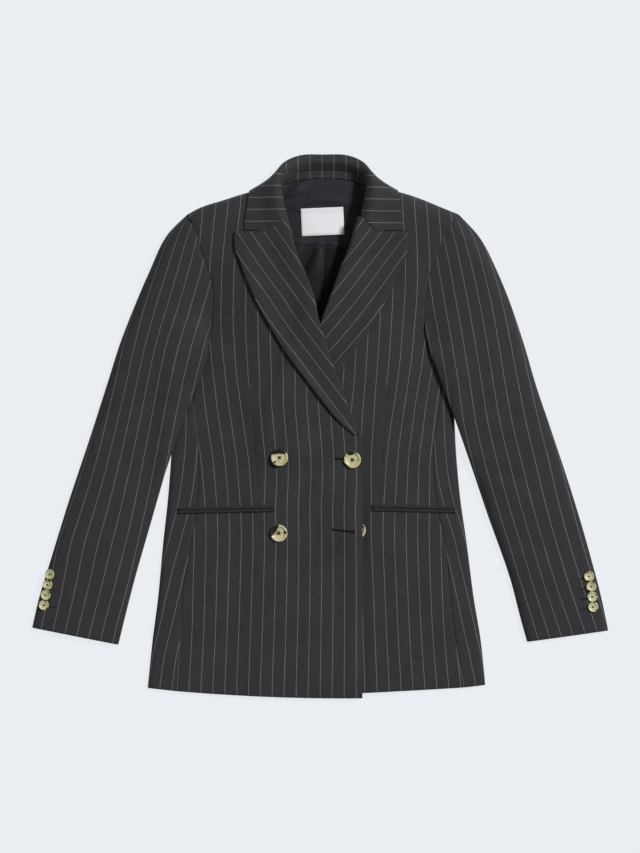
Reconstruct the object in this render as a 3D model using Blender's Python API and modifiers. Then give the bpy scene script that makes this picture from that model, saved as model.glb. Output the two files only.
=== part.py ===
"""Double breasted blazer, laid out flat on its back.

The jacket lies on the plane z = 0 with its collar towards +Y and its fronts up (+Z).
Left and right in the names are the wearer's, so the wearer's right side lies at -X.
Tables and sizes are in millimetres. make_wall turns them into metres.
Every cloth piece is an open surface, lofted through sections, with a wall from Solidify.
"""
import bpy
import bmesh
import math
import numpy as np
from collections import namedtuple

MM = 0.001

# ---------------------------------------------------------------- driving sizes
WALL = 1.8              # cloth with its interlining
TURNED_WALL = 2.0       # lapels and collar, two layers pressed together
LINING_WALL = 1.0
LABEL_WALL = 0.8
GAP = 0.3               # between pieces at a seam
SIDE_MIDDLE = 4.2       # height of the outermost line of a side fold
SIDE_TOP_ROUND = 9.0    # how far in the fold is rounded, above
SIDE_UNDER_ROUND = 5.0  # and below
SHOULDER_MIDDLE = 8.0
SHOULDER_SEAM = 1.7     # front and back part here, so that their walls clear each other
SHOULDER_TOP_ROUND = 18.0
SHOULDER_UNDER_ROUND = 9.0
BACK_ARMHOLE_INSET = 1.6
BACK_ARMPIT = 0.748
SEAT = 0.7              # between a piece and the panel it lies on
LAPEL_SEAT = 0.9
SLEEVE_SEAT = 1.9
CENTRE_BACK_HEM_X = -5.0
CENTRE_BACK_NECK_X = 5.0
FRONT_EDGE_X = 58.5     # free edge of the upper front
UNDER_EDGE_X = -68.0    # free edge of the under front
OVERLAP_LIFT = 2.2      # the upper front lies this much above the under front
LAPEL_LIFT = 4.2        # and this much more over the under lapel
COLLAR_FALL_LIFT = 2.8  # the back lies this high over the collar's fall
NECK_Y = 347.0          # neck seam at the centre back

# ---------------------------------------------------------------- tables
Trunk = namedtuple("Trunk", "y right_edge right_seam left_seam left_edge")
TRUNK = [
    Trunk(-370, -242, -203, 201, 232),
    Trunk(-300, -235, -197, 190, 225),
    Trunk(-245, -228, -194, 183, 216),
    Trunk(-160, -220, -181, 174, 205),
    Trunk(-105, -214, -173, 162, 197),
    Trunk(-40, -209, -171, 158, 191),
    Trunk(40, -205, -179, 168, 187),
    Trunk(90, -200, -176, 171, 184),
    Trunk(120, -190, -162, 156, 175),
]

Armhole = namedtuple("Armhole", "y right left")
ARMHOLE = [
    Armhole(130, -155, 148),
    Armhole(150, -152, 146),
    Armhole(177, -150, 148),
    Armhole(199, -152, 150),
    Armhole(217, -157, 153.5),
    Armhole(234, -162.5, 160),
    Armhole(252, -168.5, 168),
    Armhole(275, -175, 178),
    Armhole(297, -186, 194),
]

Height = namedtuple("Height", "y right_x left_x edge middle")
HEIGHTS = [
    Height(-382, -244, 234, 8.0, 9.0),
    Height(-245, -228, 216, 9.0, 11.0),
    Height(-105, -214, 197, 10.0, 13.0),
    Height(-40, -209, 191, 10.0, 14.5),
    Height(40, -203, 186, 9.5, 18.0),
    Height(90, -190, 178, 9.0, 21.0),
    Height(122, -170, 162, 10.0, 23.5),
    Height(150, -158, 152, 13.5, 25.5),
    Height(199, -154, 152, 20.5, 27.5),
    Height(252, -169, 169, 26.5, 30.0),
    Height(300, -186, 195, 29.0, 31.0),
    Height(350, -190, 200, 29.0, 31.0),
]

Shoulder = namedtuple("Shoulder", "x y")
RIGHT_SHOULDER = [
    Shoulder(-186, 298),
    Shoulder(-171, 305),
    Shoulder(-135, 317),
    Shoulder(-101, 326),
    Shoulder(-66, 334),
]
LEFT_SHOULDER = [
    Shoulder(76, 334),
    Shoulder(117, 325),
    Shoulder(145, 317),
    Shoulder(169, 307),
    Shoulder(195, 296),
]

Lapel = namedtuple("Lapel", "roll_x roll_y edge_x edge_y roll")
UPPER_LAPEL = [
    Lapel(-45, 292, -119, 271, 9.0),
    Lapel(-39, 268, -119, 252, 8.5),
    Lapel(-31, 238, -111, 229, 8.0),
    Lapel(-18.5, 210, -99, 198, 7.0),
    Lapel(-8, 181, -84, 165, 6.0),
    Lapel(-1, 146, -64, 130, 5.0),
    Lapel(9, 116, -44, 98, 4.5),
    Lapel(20, 82, -20, 66, 4.0),
    Lapel(30, 54, 2, 37, 3.6),
    Lapel(42, 22, 24, 10, 3.2),
    Lapel(56.5, -9, 48, -12, 2.8),
]
UNDER_LAPEL = [
    Lapel(52, 292, 120, 271, 9.0),
    Lapel(46, 271, 123, 261, 9.0),
    Lapel(39, 249, 119, 238, 8.5),
    Lapel(29, 225, 110, 214, 7.5),
    Lapel(19, 197, 96, 185, 6.0),
    Lapel(9, 170, 80, 155, 4.0),
    Lapel(0, 145, 63, 126, 2.8),
    Lapel(-12, 115, 43, 100, 2.8),
    Lapel(-28, 75, 14, 62, 2.8),
    Lapel(-45, 35, -20, 25, 2.8),
    Lapel(-57, 7, -44, 2, 2.8),
]
GORGE_DROP = 12.0       # the gorge seam sags this far below a straight line to the peak
GORGE_START = 0.12
GORGE_PLACE = 0.42
NOTCH = 2.6             # the notch between the collar and the peak
LEAF_STOPS = [0, 0.07, 0.14, 0.2, 0.26, 0.32, 0.4, 0.5, 0.62, 0.8, 1.0]

Collar = namedtuple("Collar", "neck seam inner ridge fall edge")
HALF_COLLAR = [
    Collar((-55, 291, 29), (-53, 291, 29.5), (-45.5, 293.5, 35), (-51, 292, 40.5), (-76, 283.2, 36), (-106, 273, 33.8)),
    Collar((-59, 305, 27), (-56, 305, 28.5), (-48.5, 306, 35), (-55, 306, 41), (-80, 297, 35.5), (-104.5, 289, 33.8)),
    Collar((-63, 321, 24), (-58, 321, 27), (-52.5, 324, 34), (-59, 324, 40.5), (-83, 317, 35.5), (-101.5, 309, 33)),
    Collar((-61, 331, 18), (-55, 333, 24), (-54, 338, 33), (-60, 339, 39.5), (-82, 336, 32), (-99.5, 324, 28.5)),
    Collar((-56, 335, 12), (-50, 340, 18), (-52.5, 349, 29), (-58, 352, 34.5), (-77, 344, 20), (-97, 333, 12)),
    Collar((-48, 339, 8), (-43, 346, 13), (-49, 357, 25), (-54, 361, 29), (-66.5, 354, 9), (-84, 329, 0)),
    Collar((-37, 343, 5.6), (-34, 351, 9), (-42, 364, 18), (-47, 370, 18), (-54, 362, 1.5), (-62, 325, 0)),
    Collar((-21, 346, 4.8), (-20, 357, 6.6), (-25, 370, 12), (-31, 379, 9), (-34, 373, 0), (-36, 327, 0)),
    Collar((5, 347.5, 4.6), (5, 359, 6), (5, 371.5, 10), (5, 381.1, 5.5), (5, 374, 0), (5, 331, 0)),
]

Sleeve = namedtuple("Sleeve", "outer_x outer_y inner_x inner_y thick round")
RIGHT_SLEEVE = [
    Sleeve(-187, 298, -156.5, 150, 29, 18),
    Sleeve(-214, 269, -158.5, 136, 29, 18),
    Sleeve(-240, 216, -158, 118, 27, 17),
    Sleeve(-259, 172, -158, 100, 24, 16),
    Sleeve(-279, 121, -164, 76, 21, 15),
    Sleeve(-297, 65, -185, 26, 19, 14),
    Sleeve(-324, -19, -214, -57, 17.5, 13),
    Sleeve(-352, -103, -238, -138, 16.5, 12),
    Sleeve(-378, -187, -261, -218, 15, 11),
    Sleeve(-395, -243, -274, -269, 13.5, 10),
    Sleeve(-404, -282, -283, -306, 12, 9),
]
LEFT_SLEEVE = [
    Sleeve(196, 296, 150.5, 150, 29, 18),
    Sleeve(223, 264, 152.5, 136, 29, 18),
    Sleeve(247, 218, 153, 118, 27, 17),
    Sleeve(265, 177, 155, 101, 24, 16),
    Sleeve(284, 121, 164, 76, 21, 15),
    Sleeve(302, 60, 184, 22, 19, 14),
    Sleeve(325, -8, 213, -60, 17.5, 13),
    Sleeve(352, -90, 235, -125, 16.5, 12),
    Sleeve(378, -178, 267, -216, 15, 11),
    Sleeve(395, -243, 281, -270, 13.5, 10),
    Sleeve(404, -286, 290, -302, 12, 9),
]
SLEEVE_MIDDLE = 5.0     # height of a sleeve's outermost line
SLEEVE_UNDER_ROUND = 6.0
CAP_REACH = 0.3         # share of the sleeve that still follows the armhole's curve
CAP_INNER_ROUND = 8.0
SLEEVE_DRAPE = 34.0     # the sleeve comes down to the ground this far from the side fold
SLEEVE_SEAM_GAP = 1.4
ARMHOLE_GAP = 0.8
ARMPIT_GAP = 1.6
INNER_SEAM_INSET = 20.0

Button = namedtuple("Button", "x y")
FRONT_BUTTONS = [Button(-57, -44), Button(45, -47), Button(-58, -150), Button(52, -148)]
FRONT_BUTTON_RADIUS = 12.0
SLEEVE_BUTTON_RADIUS = 7.1
HIDDEN_BUTTON = 3

Pocket = namedtuple("Pocket", "side outer_x outer_y inner_x inner_y")
POCKETS = [
    Pocket("right", -199, -118.5, -65, -115.5),
    Pocket("left", 189, -117.5, 73, -114.5),
]
JET_HEIGHT = 4.4
JET_WALL = 1.2


# ---------------------------------------------------------------- smooth lines
def smooth_line(keys, values):
    """A smooth curve through the rows of a table, as a function of its key."""
    keys = np.array(keys, float)
    values = np.array(values, float)
    slopes = np.gradient(values, keys, axis=0)

    def at(key):
        key = min(max(key, keys[0]), keys[-1])
        row = int(min(max(np.searchsorted(keys, key, side="right") - 1, 0), len(keys) - 2))
        span = keys[row + 1] - keys[row]
        t = (key - keys[row]) / span
        start = (2 * t**3 - 3 * t**2 + 1) * values[row] + (t**3 - 2 * t**2 + t) * span * slopes[row]
        end = (3 * t**2 - 2 * t**3) * values[row + 1] + (t**3 - t**2) * span * slopes[row + 1]
        return start + end

    return at


def through(points):
    """A smooth curve through points in order, as a function of 0 to 1 along its length."""
    points = np.array(points, float)
    lengths = np.linalg.norm(np.diff(points, axis=0), axis=1)
    keys = np.concatenate([[0.0], np.cumsum(lengths)]) / lengths.sum()
    return smooth_line(keys, points)


def ease(t):
    t = min(max(t, 0.0), 1.0)
    return t * t * (3 - 2 * t)


def mix(a, b, t):
    return a + (b - a) * t


def steps(start, end, count):
    return [mix(start, end, i / count) for i in range(count + 1)]


def quarter(t):
    """Height of a quarter circle at t of the way in from its edge."""
    t = min(max(t, 0.0), 1.0)
    return math.sqrt(max(0.0, 1 - (1 - t) ** 2))


def column(table, *names):
    return [[getattr(row, name) for name in names] if len(names) > 1 else getattr(row, names[0])
            for row in table]


trunk_y = column(TRUNK, "y")
right_edge = smooth_line(trunk_y, column(TRUNK, "right_edge"))
left_edge = smooth_line(trunk_y, column(TRUNK, "left_edge"))
armhole_y = column(ARMHOLE, "y")
right_side = smooth_line(trunk_y + armhole_y, column(TRUNK, "right_seam") + column(ARMHOLE, "right"))
left_side = smooth_line(trunk_y + armhole_y, column(TRUNK, "left_seam") + column(ARMHOLE, "left"))
height_row = smooth_line(column(HEIGHTS, "y"), column(HEIGHTS, "right_x", "left_x", "edge", "middle"))
right_shoulder = smooth_line(column(RIGHT_SHOULDER, "x"), column(RIGHT_SHOULDER, "y"))
left_shoulder = smooth_line(column(LEFT_SHOULDER, "x"), column(LEFT_SHOULDER, "y"))


def by_height(table, *names):
    rows = sorted(table, key=lambda row: row.roll_y)
    return smooth_line([row.roll_y for row in rows], column(rows, *names))


upper_roll = by_height(UPPER_LAPEL, "roll_x", "roll")
under_roll = by_height(UNDER_LAPEL, "roll_x", "roll")
under_rows = sorted(UNDER_LAPEL[1:], key=lambda row: row.edge_y)
under_lapel_edge = smooth_line(column(under_rows, "edge_y"), column(under_rows, "edge_x"))


# ---------------------------------------------------------------- heights of the layers
def shoulder_depth(x, y):
    """How far a point lies in from the shoulder line."""
    line = right_shoulder(x) if x < 5 else left_shoulder(x)
    return (line - y) * 0.95


def under_top(x, y):
    """Top of the front layer that lies on the back."""
    right_x, left_x, edge, middle = height_row(y)
    across = min(max((x - right_x) / (left_x - right_x), 0.0), 1.0)
    height = edge + (middle - edge) * (1 - abs(2 * across - 1) ** 2.6)
    depth = shoulder_depth(x, y)
    if depth < SHOULDER_TOP_ROUND:
        height = mix(SHOULDER_MIDDLE + SHOULDER_SEAM / 2, height, quarter(depth / SHOULDER_TOP_ROUND))
    return height


def upper_top(x, y):
    """Top of the upper front: raised where the under front, its lapel or a button lies below."""
    over_front = ease((x - UNDER_EDGE_X + 52) / 34) * ease((290 - y) / 60)
    roll_x = under_roll(y)[0]
    over_lapel = ease((x - roll_x + 44) / 28) * ease((under_lapel_edge(y) + 44 - x) / 28)
    over_lapel *= ease((y + 66) / 36) * ease((215 - y) / 40)
    hidden = FRONT_BUTTONS[HIDDEN_BUTTON]
    distance = math.hypot(x - hidden.x, (y - hidden.y) * 0.8)
    over_button = 7.0 * math.exp(-(distance / 36.0) ** 2)
    return under_top(x, y) + OVERLAP_LIFT * over_front + LAPEL_LIFT * over_lapel + over_button


def back_under(x, y):
    """Underside of the back: flat on the ground, lifted over the collar's fall and round the shoulder."""
    over_fall = ease((y - 296) / 18) * (1 - ease((abs(x - CENTRE_BACK_NECK_X) - 96) / 16))
    lift = COLLAR_FALL_LIFT * over_fall
    depth = shoulder_depth(x, y)
    near_neck = 1 - ease((abs(x - CENTRE_BACK_NECK_X) - 52) / 16)
    if depth < SHOULDER_UNDER_ROUND:
        rounded = mix(SHOULDER_MIDDLE - SHOULDER_SEAM / 2, lift, quarter(depth / SHOULDER_UNDER_ROUND))
        lift = mix(rounded, lift, near_neck)
    return lift


def panel_height(*panels):
    """Height of lofted panels at a point, taken from their own faces, or None beside them."""
    triangles = []
    for rows in panels:
        grid = np.array(rows, float)
        a, b, c, d = [part.reshape(-1, 3) for part in (grid[:-1, :-1], grid[:-1, 1:], grid[1:, 1:], grid[1:, :-1])]
        for corners in ((a, b, c), (a, c, d), (a, b, d), (b, c, d)):
            triangles.append(np.stack(corners, axis=1))
    first, second, third = np.concatenate(triangles).transpose(1, 0, 2)
    along = second - first
    beside = third - first
    area = along[:, 0] * beside[:, 1] - along[:, 1] * beside[:, 0]
    area = np.where(np.abs(area) < 1e-9, 1e-9, area)

    def at(x, y):
        dx = x - first[:, 0]
        dy = y - first[:, 1]
        u = (dx * beside[:, 1] - dy * beside[:, 0]) / area
        v = (dy * along[:, 0] - dx * along[:, 1]) / area
        inside = (u > -1e-6) & (v > -1e-6) & (u + v < 1 + 1e-6)
        if not inside.any():
            return None
        return float((first[:, 2] + u * along[:, 2] + v * beside[:, 2])[inside].max())

    return at


# ---------------------------------------------------------------- making pieces
parts = None


def clear_scene():
    for item in list(bpy.data.objects):
        bpy.data.objects.remove(item, do_unlink=True)
    for group in list(bpy.data.collections):
        bpy.data.collections.remove(group)


def finish(name, color, roughness):
    material = bpy.data.materials.new(name)
    material.use_nodes = True
    shader = material.node_tree.nodes["Principled BSDF"]
    shader.inputs["Base Color"].default_value = (*color, 1)
    shader.inputs["Roughness"].default_value = roughness
    shader.inputs["Metallic"].default_value = 0.0
    return material


CLOTH = (0.045, 0.045, 0.05)
LINING = (0.10, 0.085, 0.11)
LABEL = (0.85, 0.86, 0.88)
HORN = (0.62, 0.52, 0.28)


def make_wall(name, rows, wall, color=CLOTH, roughness=0.85, offset=-1.0, flip=False):
    """A cloth piece: a lofted open surface given its wall. rows hold outer points, row by row."""
    bm = bmesh.new()
    grid = [[bm.verts.new([c * MM for c in point]) for point in row] for row in rows]
    for low, high in zip(grid, grid[1:]):
        for a, b, c, d in zip(low, low[1:], high[1:], high):
            bm.faces.new((d, c, b, a) if flip else (a, b, c, d))
    mesh = bpy.data.meshes.new(name)
    bm.to_mesh(mesh)
    bm.free()
    mesh.shade_smooth()
    mesh.materials.append(finish(name, color, roughness))
    piece = bpy.data.objects.new(name, mesh)
    parts.objects.link(piece)
    solid = piece.modifiers.new("wall", "SOLIDIFY")
    solid.thickness = wall * MM
    solid.offset = offset
    solid.use_even_offset = True
    solid.use_rim = True
    return piece


# ---------------------------------------------------------------- fronts
FRONT_COLUMNS = [0.0, 0.12, 0.25, 0.38, 0.5, 0.61, 0.72, 0.82, 0.91, 1.0]
UPPER_BREAK = [0.5256, 0.5295]  # the lapel starts between these two rows
UNDER_BREAK = [0.5460, 0.5500]
ARMPIT = 0.7585         # the side panels reach up to this row
ROWS_BELOW = 11
ROWS_TO_ARMPIT = 5
ROWS_ABOVE = 6
ARC = [30, 60, 90]      # degrees round the shoulder
SIDE_TOP = 297.0        # the shoulder's outer end
EDGE_TOP = 334.0        # and its end at the neck
RIGHT_HEM = (-371, -381)
LEFT_HEM = (-366, -379)


def roll_inset(roll):
    """The front stops this far inside the fold of its lapel."""
    return TURNED_WALL / 2 + roll / 2 + 1.5 + GAP + 1.6


def upper_front_edge(y):
    if y < -14:
        return FRONT_EDGE_X
    x, roll = upper_roll(y)
    return x - roll_inset(roll) * (1.12 if y < 285 else 1.0)


def under_front_edge(y):
    if y < 1:
        return UNDER_EDGE_X
    x, roll = under_roll(y)
    return x + roll_inset(roll) * 1.12


right_neck = smooth_line([286, 300, 318, 340], [-56.5, -61, -66, -66])
left_neck = smooth_line([286, 300, 318, 340], [67.5, 71.5, 76, 76])


def front_stops(stop):
    to_armpit = steps(0.0, stop[0], ROWS_BELOW) + steps(stop[1], ARMPIT, ROWS_TO_ARMPIT)
    return to_armpit + [mix(ARMPIT, 1.0, t ** 1.25) for t in steps(0.0, 1.0, ROWS_ABOVE)[1:]]


def side_row_y(hem, along):
    return mix(hem[0], SIDE_TOP - SHOULDER_TOP_ROUND / 0.95, along)


def front_rows(side_x, edge_x, neck_x, shoulder, hem, hem_bow, stop, top):
    """Sections from hem to shoulder seam, each from the side seam or armhole to the front edge."""
    rows = []
    for along, angle in [(w, 0.0) for w in front_stops(stop)] + [(1.0, a) for a in ARC]:
        row = []
        side_y = side_row_y(hem, along)
        edge_y = mix(hem[1], EDGE_TOP - SHOULDER_TOP_ROUND / 0.95, along)
        if angle > 0.0:
            side_y = SIDE_TOP - SHOULDER_TOP_ROUND * (1 - math.sin(math.radians(angle))) / 0.95
            edge_y = EDGE_TOP - SHOULDER_TOP_ROUND * (1 - math.sin(math.radians(angle))) / 0.95
        left = side_x(side_y)
        right = edge_x(edge_y) if edge_y < 288 else neck_x(edge_y)
        for across in FRONT_COLUMNS:
            x = mix(left, right, across)
            y = mix(side_y, edge_y, across) + hem_bow * 4 * across * (1 - across) * (1 - along) ** 4
            y += (shoulder(x) - mix(shoulder(left), shoulder(right), across)) * along ** 6
            row.append((x, y, top(x, y)))
        rows.append(row)
    return rows


RIGHT_FRONT = front_rows(right_side, upper_front_edge, right_neck, right_shoulder, RIGHT_HEM, -3.0,
                         UPPER_BREAK, upper_top)
LEFT_FRONT = front_rows(left_side, under_front_edge, left_neck, left_shoulder, LEFT_HEM, -1.0,
                        UNDER_BREAK, under_top)
right_front_top = panel_height(RIGHT_FRONT)
left_front_top = panel_height(LEFT_FRONT)


def make_fronts():
    make_wall("front_right", RIGHT_FRONT, WALL)
    make_wall("front_left", LEFT_FRONT, WALL, flip=True)


# ---------------------------------------------------------------- side panels
def back_seam(y, inward):
    """The hidden seam between a side panel and the back."""
    hem_x, top_x = (-194, -146) if inward > 0 else (184, 136)
    return mix(hem_x, top_x, (y + 370) / 490)


def side_section(y, seam_x, edge_x, inward):
    """From the front seam over the side fold to the back seam, at one height."""
    start = seam_x - inward * GAP
    section = []
    for t in steps(0.0, 1.0, 3):
        x = mix(start, edge_x + inward * SIDE_TOP_ROUND, t)
        section.append((x, y, under_top(x, y)))
    crest = under_top(edge_x + inward * SIDE_TOP_ROUND, y)
    for angle in (60, 30, 0):
        x = edge_x + inward * SIDE_TOP_ROUND * (1 - math.cos(math.radians(angle)))
        section.append((x, y, mix(SIDE_MIDDLE, crest, math.sin(math.radians(angle)))))
    for angle in (45, 90):
        x = edge_x + inward * SIDE_UNDER_ROUND * (1 - math.cos(math.radians(angle)))
        section.append((x, y, SIDE_MIDDLE * (1 - math.sin(math.radians(angle)))))
    section.append((back_seam(y, inward) - inward * GAP, y, 0.0))
    return section


def side_rows(seam, edge, inward, hem, hem_rise, stop):
    """The side panel shares the front's rows as far as the armpit."""
    rows = []
    for along in front_stops(stop)[:-ROWS_ABOVE]:
        y = side_row_y(hem, along)
        rise = max(0.0, 1 - along / 0.4) ** 3
        section = side_section(y, seam(y), edge(y), inward)
        outer = [max(0.0, (seam(y) - x) * inward) / 40 for x, y_, z in section]
        rows.append([(x, y_ + hem_rise * share * rise, z) for (x, y_, z), share in zip(section, outer)])
    return rows


RIGHT_PANEL = side_rows(right_side, right_edge, 1, RIGHT_HEM, 4.5, UPPER_BREAK)
LEFT_PANEL = side_rows(left_side, left_edge, -1, LEFT_HEM, 4.5, UNDER_BREAK)
right_trunk_top = panel_height(RIGHT_FRONT, RIGHT_PANEL)
left_trunk_top = panel_height(LEFT_FRONT, LEFT_PANEL)


def make_sides():
    make_wall("side_right", RIGHT_PANEL, WALL, flip=True)
    make_wall("side_left", LEFT_PANEL, WALL)


# ---------------------------------------------------------------- backs
def neck_line(x):
    """The back neck seam dips towards the shoulders."""
    return NECK_Y - 13 * ((x - CENTRE_BACK_NECK_X) / 71) ** 2


def top_line(x, shoulder, beside_neck):
    return shoulder(x) if beside_neck else neck_line(x)


def back_side_x(y, inward, side):
    return mix(back_seam(y, inward), side(y) + inward * BACK_ARMHOLE_INSET, ease((y - 126) / 20))


def make_backs():
    for name, side, inward, shoulder, neck_x, hem_y in (
        ("back_right", right_side, 1, right_shoulder, -66, (-370, -379)),
        ("back_left", left_side, -1, left_shoulder, 76, (-366.5, -377.5)),
    ):
        rows = []
        tip_y = 297.0
        stops = steps(0.0, BACK_ARMPIT, 7) + steps(BACK_ARMPIT, 1.0, 5)[1:]
        stops = [(along, 0.0) for along in stops] + [(1.0, angle) for angle in ARC]
        for along, angle in stops:
            row = []
            round_y = SHOULDER_UNDER_ROUND * (math.cos(math.radians(90 - angle)) - 1) / 0.95
            for across in steps(0.0, 1.0, 8):
                side_y = mix(hem_y[0], tip_y - SHOULDER_UNDER_ROUND / 0.95, along)
                centre_y = mix(hem_y[1], NECK_Y - SHOULDER_UNDER_ROUND / 0.95, along)
                if angle > 0.0:
                    side_y = tip_y + round_y
                    centre_y = NECK_Y + round_y
                outer = back_side_x(side_y, inward, side)
                centre = mix(CENTRE_BACK_HEM_X, CENTRE_BACK_NECK_X, (centre_y - hem_y[1]) / (NECK_Y - hem_y[1]))
                x = mix(outer, centre - inward * GAP / 2, across)
                y = mix(side_y, centre_y, across)
                y += (top_line(x, shoulder, (x - neck_x) * inward < 0)
                      - mix(shoulder(outer), neck_line(centre), across)) * along ** 6
                row.append((x, y, back_under(x, y)))
            rows.append(row)
        make_wall(name, rows, WALL, flip=(inward > 0))


# ---------------------------------------------------------------- lapels
def gorge_sag(share):
    """How far the gorge seam hangs below the straight line from the roll to the peak."""
    tent = min((share - GORGE_START) / (GORGE_PLACE - GORGE_START), (1 - share) / (1 - GORGE_PLACE))
    return GORGE_DROP * max(tent, 0.0)


def lapel_rows(table, top, front_top, row_count):
    """Each section starts at the front's edge, turns over the roll and lies on the front."""
    rows = []
    guide = through(column(table, "roll_x", "roll_y", "edge_x", "edge_y", "roll"))
    for along in steps(0.0, 1.0, row_count):
        roll_x, roll_y, edge_x, edge_y, roll = guide(along)
        reach = np.array([edge_x - roll_x, edge_y - roll_y])
        width = float(np.linalg.norm(reach))
        outward = reach / width
        radius = roll / 2
        nose = TURNED_WALL / 2
        at_edge = np.array([roll_x, roll_y]) + outward * roll_inset(roll)
        low = top(at_edge[0], at_edge[1]) - WALL / 2
        path = [(nose + radius + 1.5, low)]
        for angle in (-90, -130, -180, -230, -270):
            turn = math.radians(angle)
            path.append((nose + radius + radius * math.cos(turn), low + radius + radius * math.sin(turn)))
        start = nose + radius
        flat = max(width - start, 1.0)
        section = []
        for reach_n, z in path:
            section.append((reach_n, z, 0.0))
        for t in (0.12, 0.26, 0.42, 0.6, 0.8, 1.0):
            reach_n = start + flat * t
            section.append((reach_n, None, reach_n / width))
        row = []
        for reach_n, z, share in section:
            place = np.array([roll_x, roll_y]) + outward * reach_n
            place[1] -= gorge_sag(share) * (1 - ease(along / 0.16))
            if z is None:
                below = front_top(place[0], place[1]) or top(place[0], place[1])
                flat_z = below + LAPEL_SEAT + TURNED_WALL / 2
                crest = low + 2 * radius
                fall = 1 - ease((reach_n - start) / min(32.0, flat))
                z = flat_z + max(crest - flat_z, 0.0) * fall
            row.append((place[0], place[1], z))
        rows.append(row)
    return rows


def make_lapels():
    rows = lapel_rows(UPPER_LAPEL, upper_top, right_front_top, 16)
    make_wall("lapel_right", rows, TURNED_WALL, offset=0.0)
    rows = lapel_rows(UNDER_LAPEL, under_top, left_front_top, 16)
    make_wall("lapel_left", rows, TURNED_WALL, offset=0.0, flip=True)


# ---------------------------------------------------------------- collar
def collar_stations(count):
    """Stations from the wearer's right gorge round the back neck to the left gorge."""
    mirrored = [
        Collar(*[(2 * CENTRE_BACK_NECK_X - x, y, z) for x, y, z in row]) for row in HALF_COLLAR[-2::-1]
    ]
    rows = [[value for key in row for value in key] for row in HALF_COLLAR + mirrored]
    keys = np.cumsum([0.0] + [math.dist(a[6:15], b[6:15]) for a, b in zip(rows, rows[1:])])
    line = smooth_line(keys / keys[-1], rows)
    return [Collar(*line(t).reshape(6, 3)) for t in steps(0.0, 1.0, count)]


def gorge_y(x, lapel):
    """Where the collar's end meets the lapel, with the notch opening towards the peak."""
    share = min(max((x - lapel.roll_x) / (lapel.edge_x - lapel.roll_x), 0.0), 1.0)
    notch = NOTCH * ease((share - GORGE_PLACE) / 0.2)
    return mix(lapel.roll_y, lapel.edge_y, share) - gorge_sag(share) + SEAT + notch


def make_collar():
    leaf_rows = []
    stand_rows = []
    for station in collar_stations(28):
        section = through([station.seam, station.inner, station.ridge, station.fall, station.edge])
        row = [section(t) for t in LEAF_STOPS]
        leaf_rows.append([[x, y, max(z, 0.0)] for x, y, z in row])
        joint = mix(station.seam, station.neck, 0.14)
        stand_rows.append([mix(station.neck, joint, t) for t in steps(0.0, 1.0, 2)])
    for end, onward, lapel in ((0, 1, UPPER_LAPEL[0]), (-1, -1, UNDER_LAPEL[0])):
        shift = [gorge_y(place[0], lapel) - place[1] for place in leaf_rows[end]]
        shift[0] = 0.0
        for count, share in enumerate((1.0, 0.5, 0.15)):
            for place, move in zip(leaf_rows[end + onward * count], shift):
                place[1] += move * share
    make_wall("collar_leaf", leaf_rows, TURNED_WALL, flip=True)
    make_wall("collar_stand", stand_rows[2:-2], WALL, flip=True)


# ---------------------------------------------------------------- lining and label in the neck
LINING_LOW_Y = 128.0
LINING_HALF = [(128, 22), (200, 44), (260, 56), (310, 60), (338, 60)]
LABEL_CENTRE = (3.3, 286.8)
LABEL_SIZE = (59.0, 38.0)
LABEL_TURN = 2.5
lining_half = smooth_line([y for y, half in LINING_HALF], [half for y, half in LINING_HALF])


def lining_top(x, y):
    """The lining lies on the backs, with a soft pleat down its centre."""
    pleat = 0.8 * math.exp(-((x - 1) / 5.0) ** 2) * ease((262 - y) / 30)
    wave = 0.35 * (1 + math.sin(y / 11.0))
    return back_under(x, y) + WALL + GAP + LINING_WALL + pleat + wave


def make_lining():
    rows = []
    for along in steps(0.0, 1.0, 10):
        half = lining_half(mix(LINING_LOW_Y, NECK_Y, along))
        row = []
        for x in steps(CENTRE_BACK_NECK_X - half, CENTRE_BACK_NECK_X + half, 8):
            y = mix(LINING_LOW_Y, neck_line(x) - 0.8, along)
            row.append((x, y, lining_top(x, y)))
        rows.append(row)
    make_wall("back_lining", rows, LINING_WALL, LINING, 0.45)


def make_label():
    turn = math.radians(LABEL_TURN)
    rows = []
    for v in steps(-0.5, 0.5, 4):
        row = []
        for u in steps(-0.5, 0.5, 4):
            dx = u * LABEL_SIZE[0]
            dy = v * LABEL_SIZE[1]
            x = LABEL_CENTRE[0] + dx * math.cos(turn) - dy * math.sin(turn)
            y = LABEL_CENTRE[1] + dx * math.sin(turn) + dy * math.cos(turn)
            row.append((x, y, lining_top(x, y) + SEAT + LABEL_WALL))
        rows.append(row)
    make_wall("neck_label", rows, LABEL_WALL, LABEL, 0.6)


# ---------------------------------------------------------------- sleeves
def ground_lift(x, y):
    """How high the side of the jacket lifts a sleeve that lies across it."""
    edge, trunk_top = (right_edge(y), right_trunk_top) if x < 0 else (left_edge(y), left_trunk_top)
    outside = (edge - x) if x < 0 else (x - edge)
    lift = under_top(edge, y)
    if outside < 0:
        lift = max(lift, trunk_top(x, y) or 0.0)
    return (lift + SLEEVE_SEAT) * (1 - ease(outside / SLEEVE_DRAPE)) * ease((158 - y) / 20)


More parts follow.
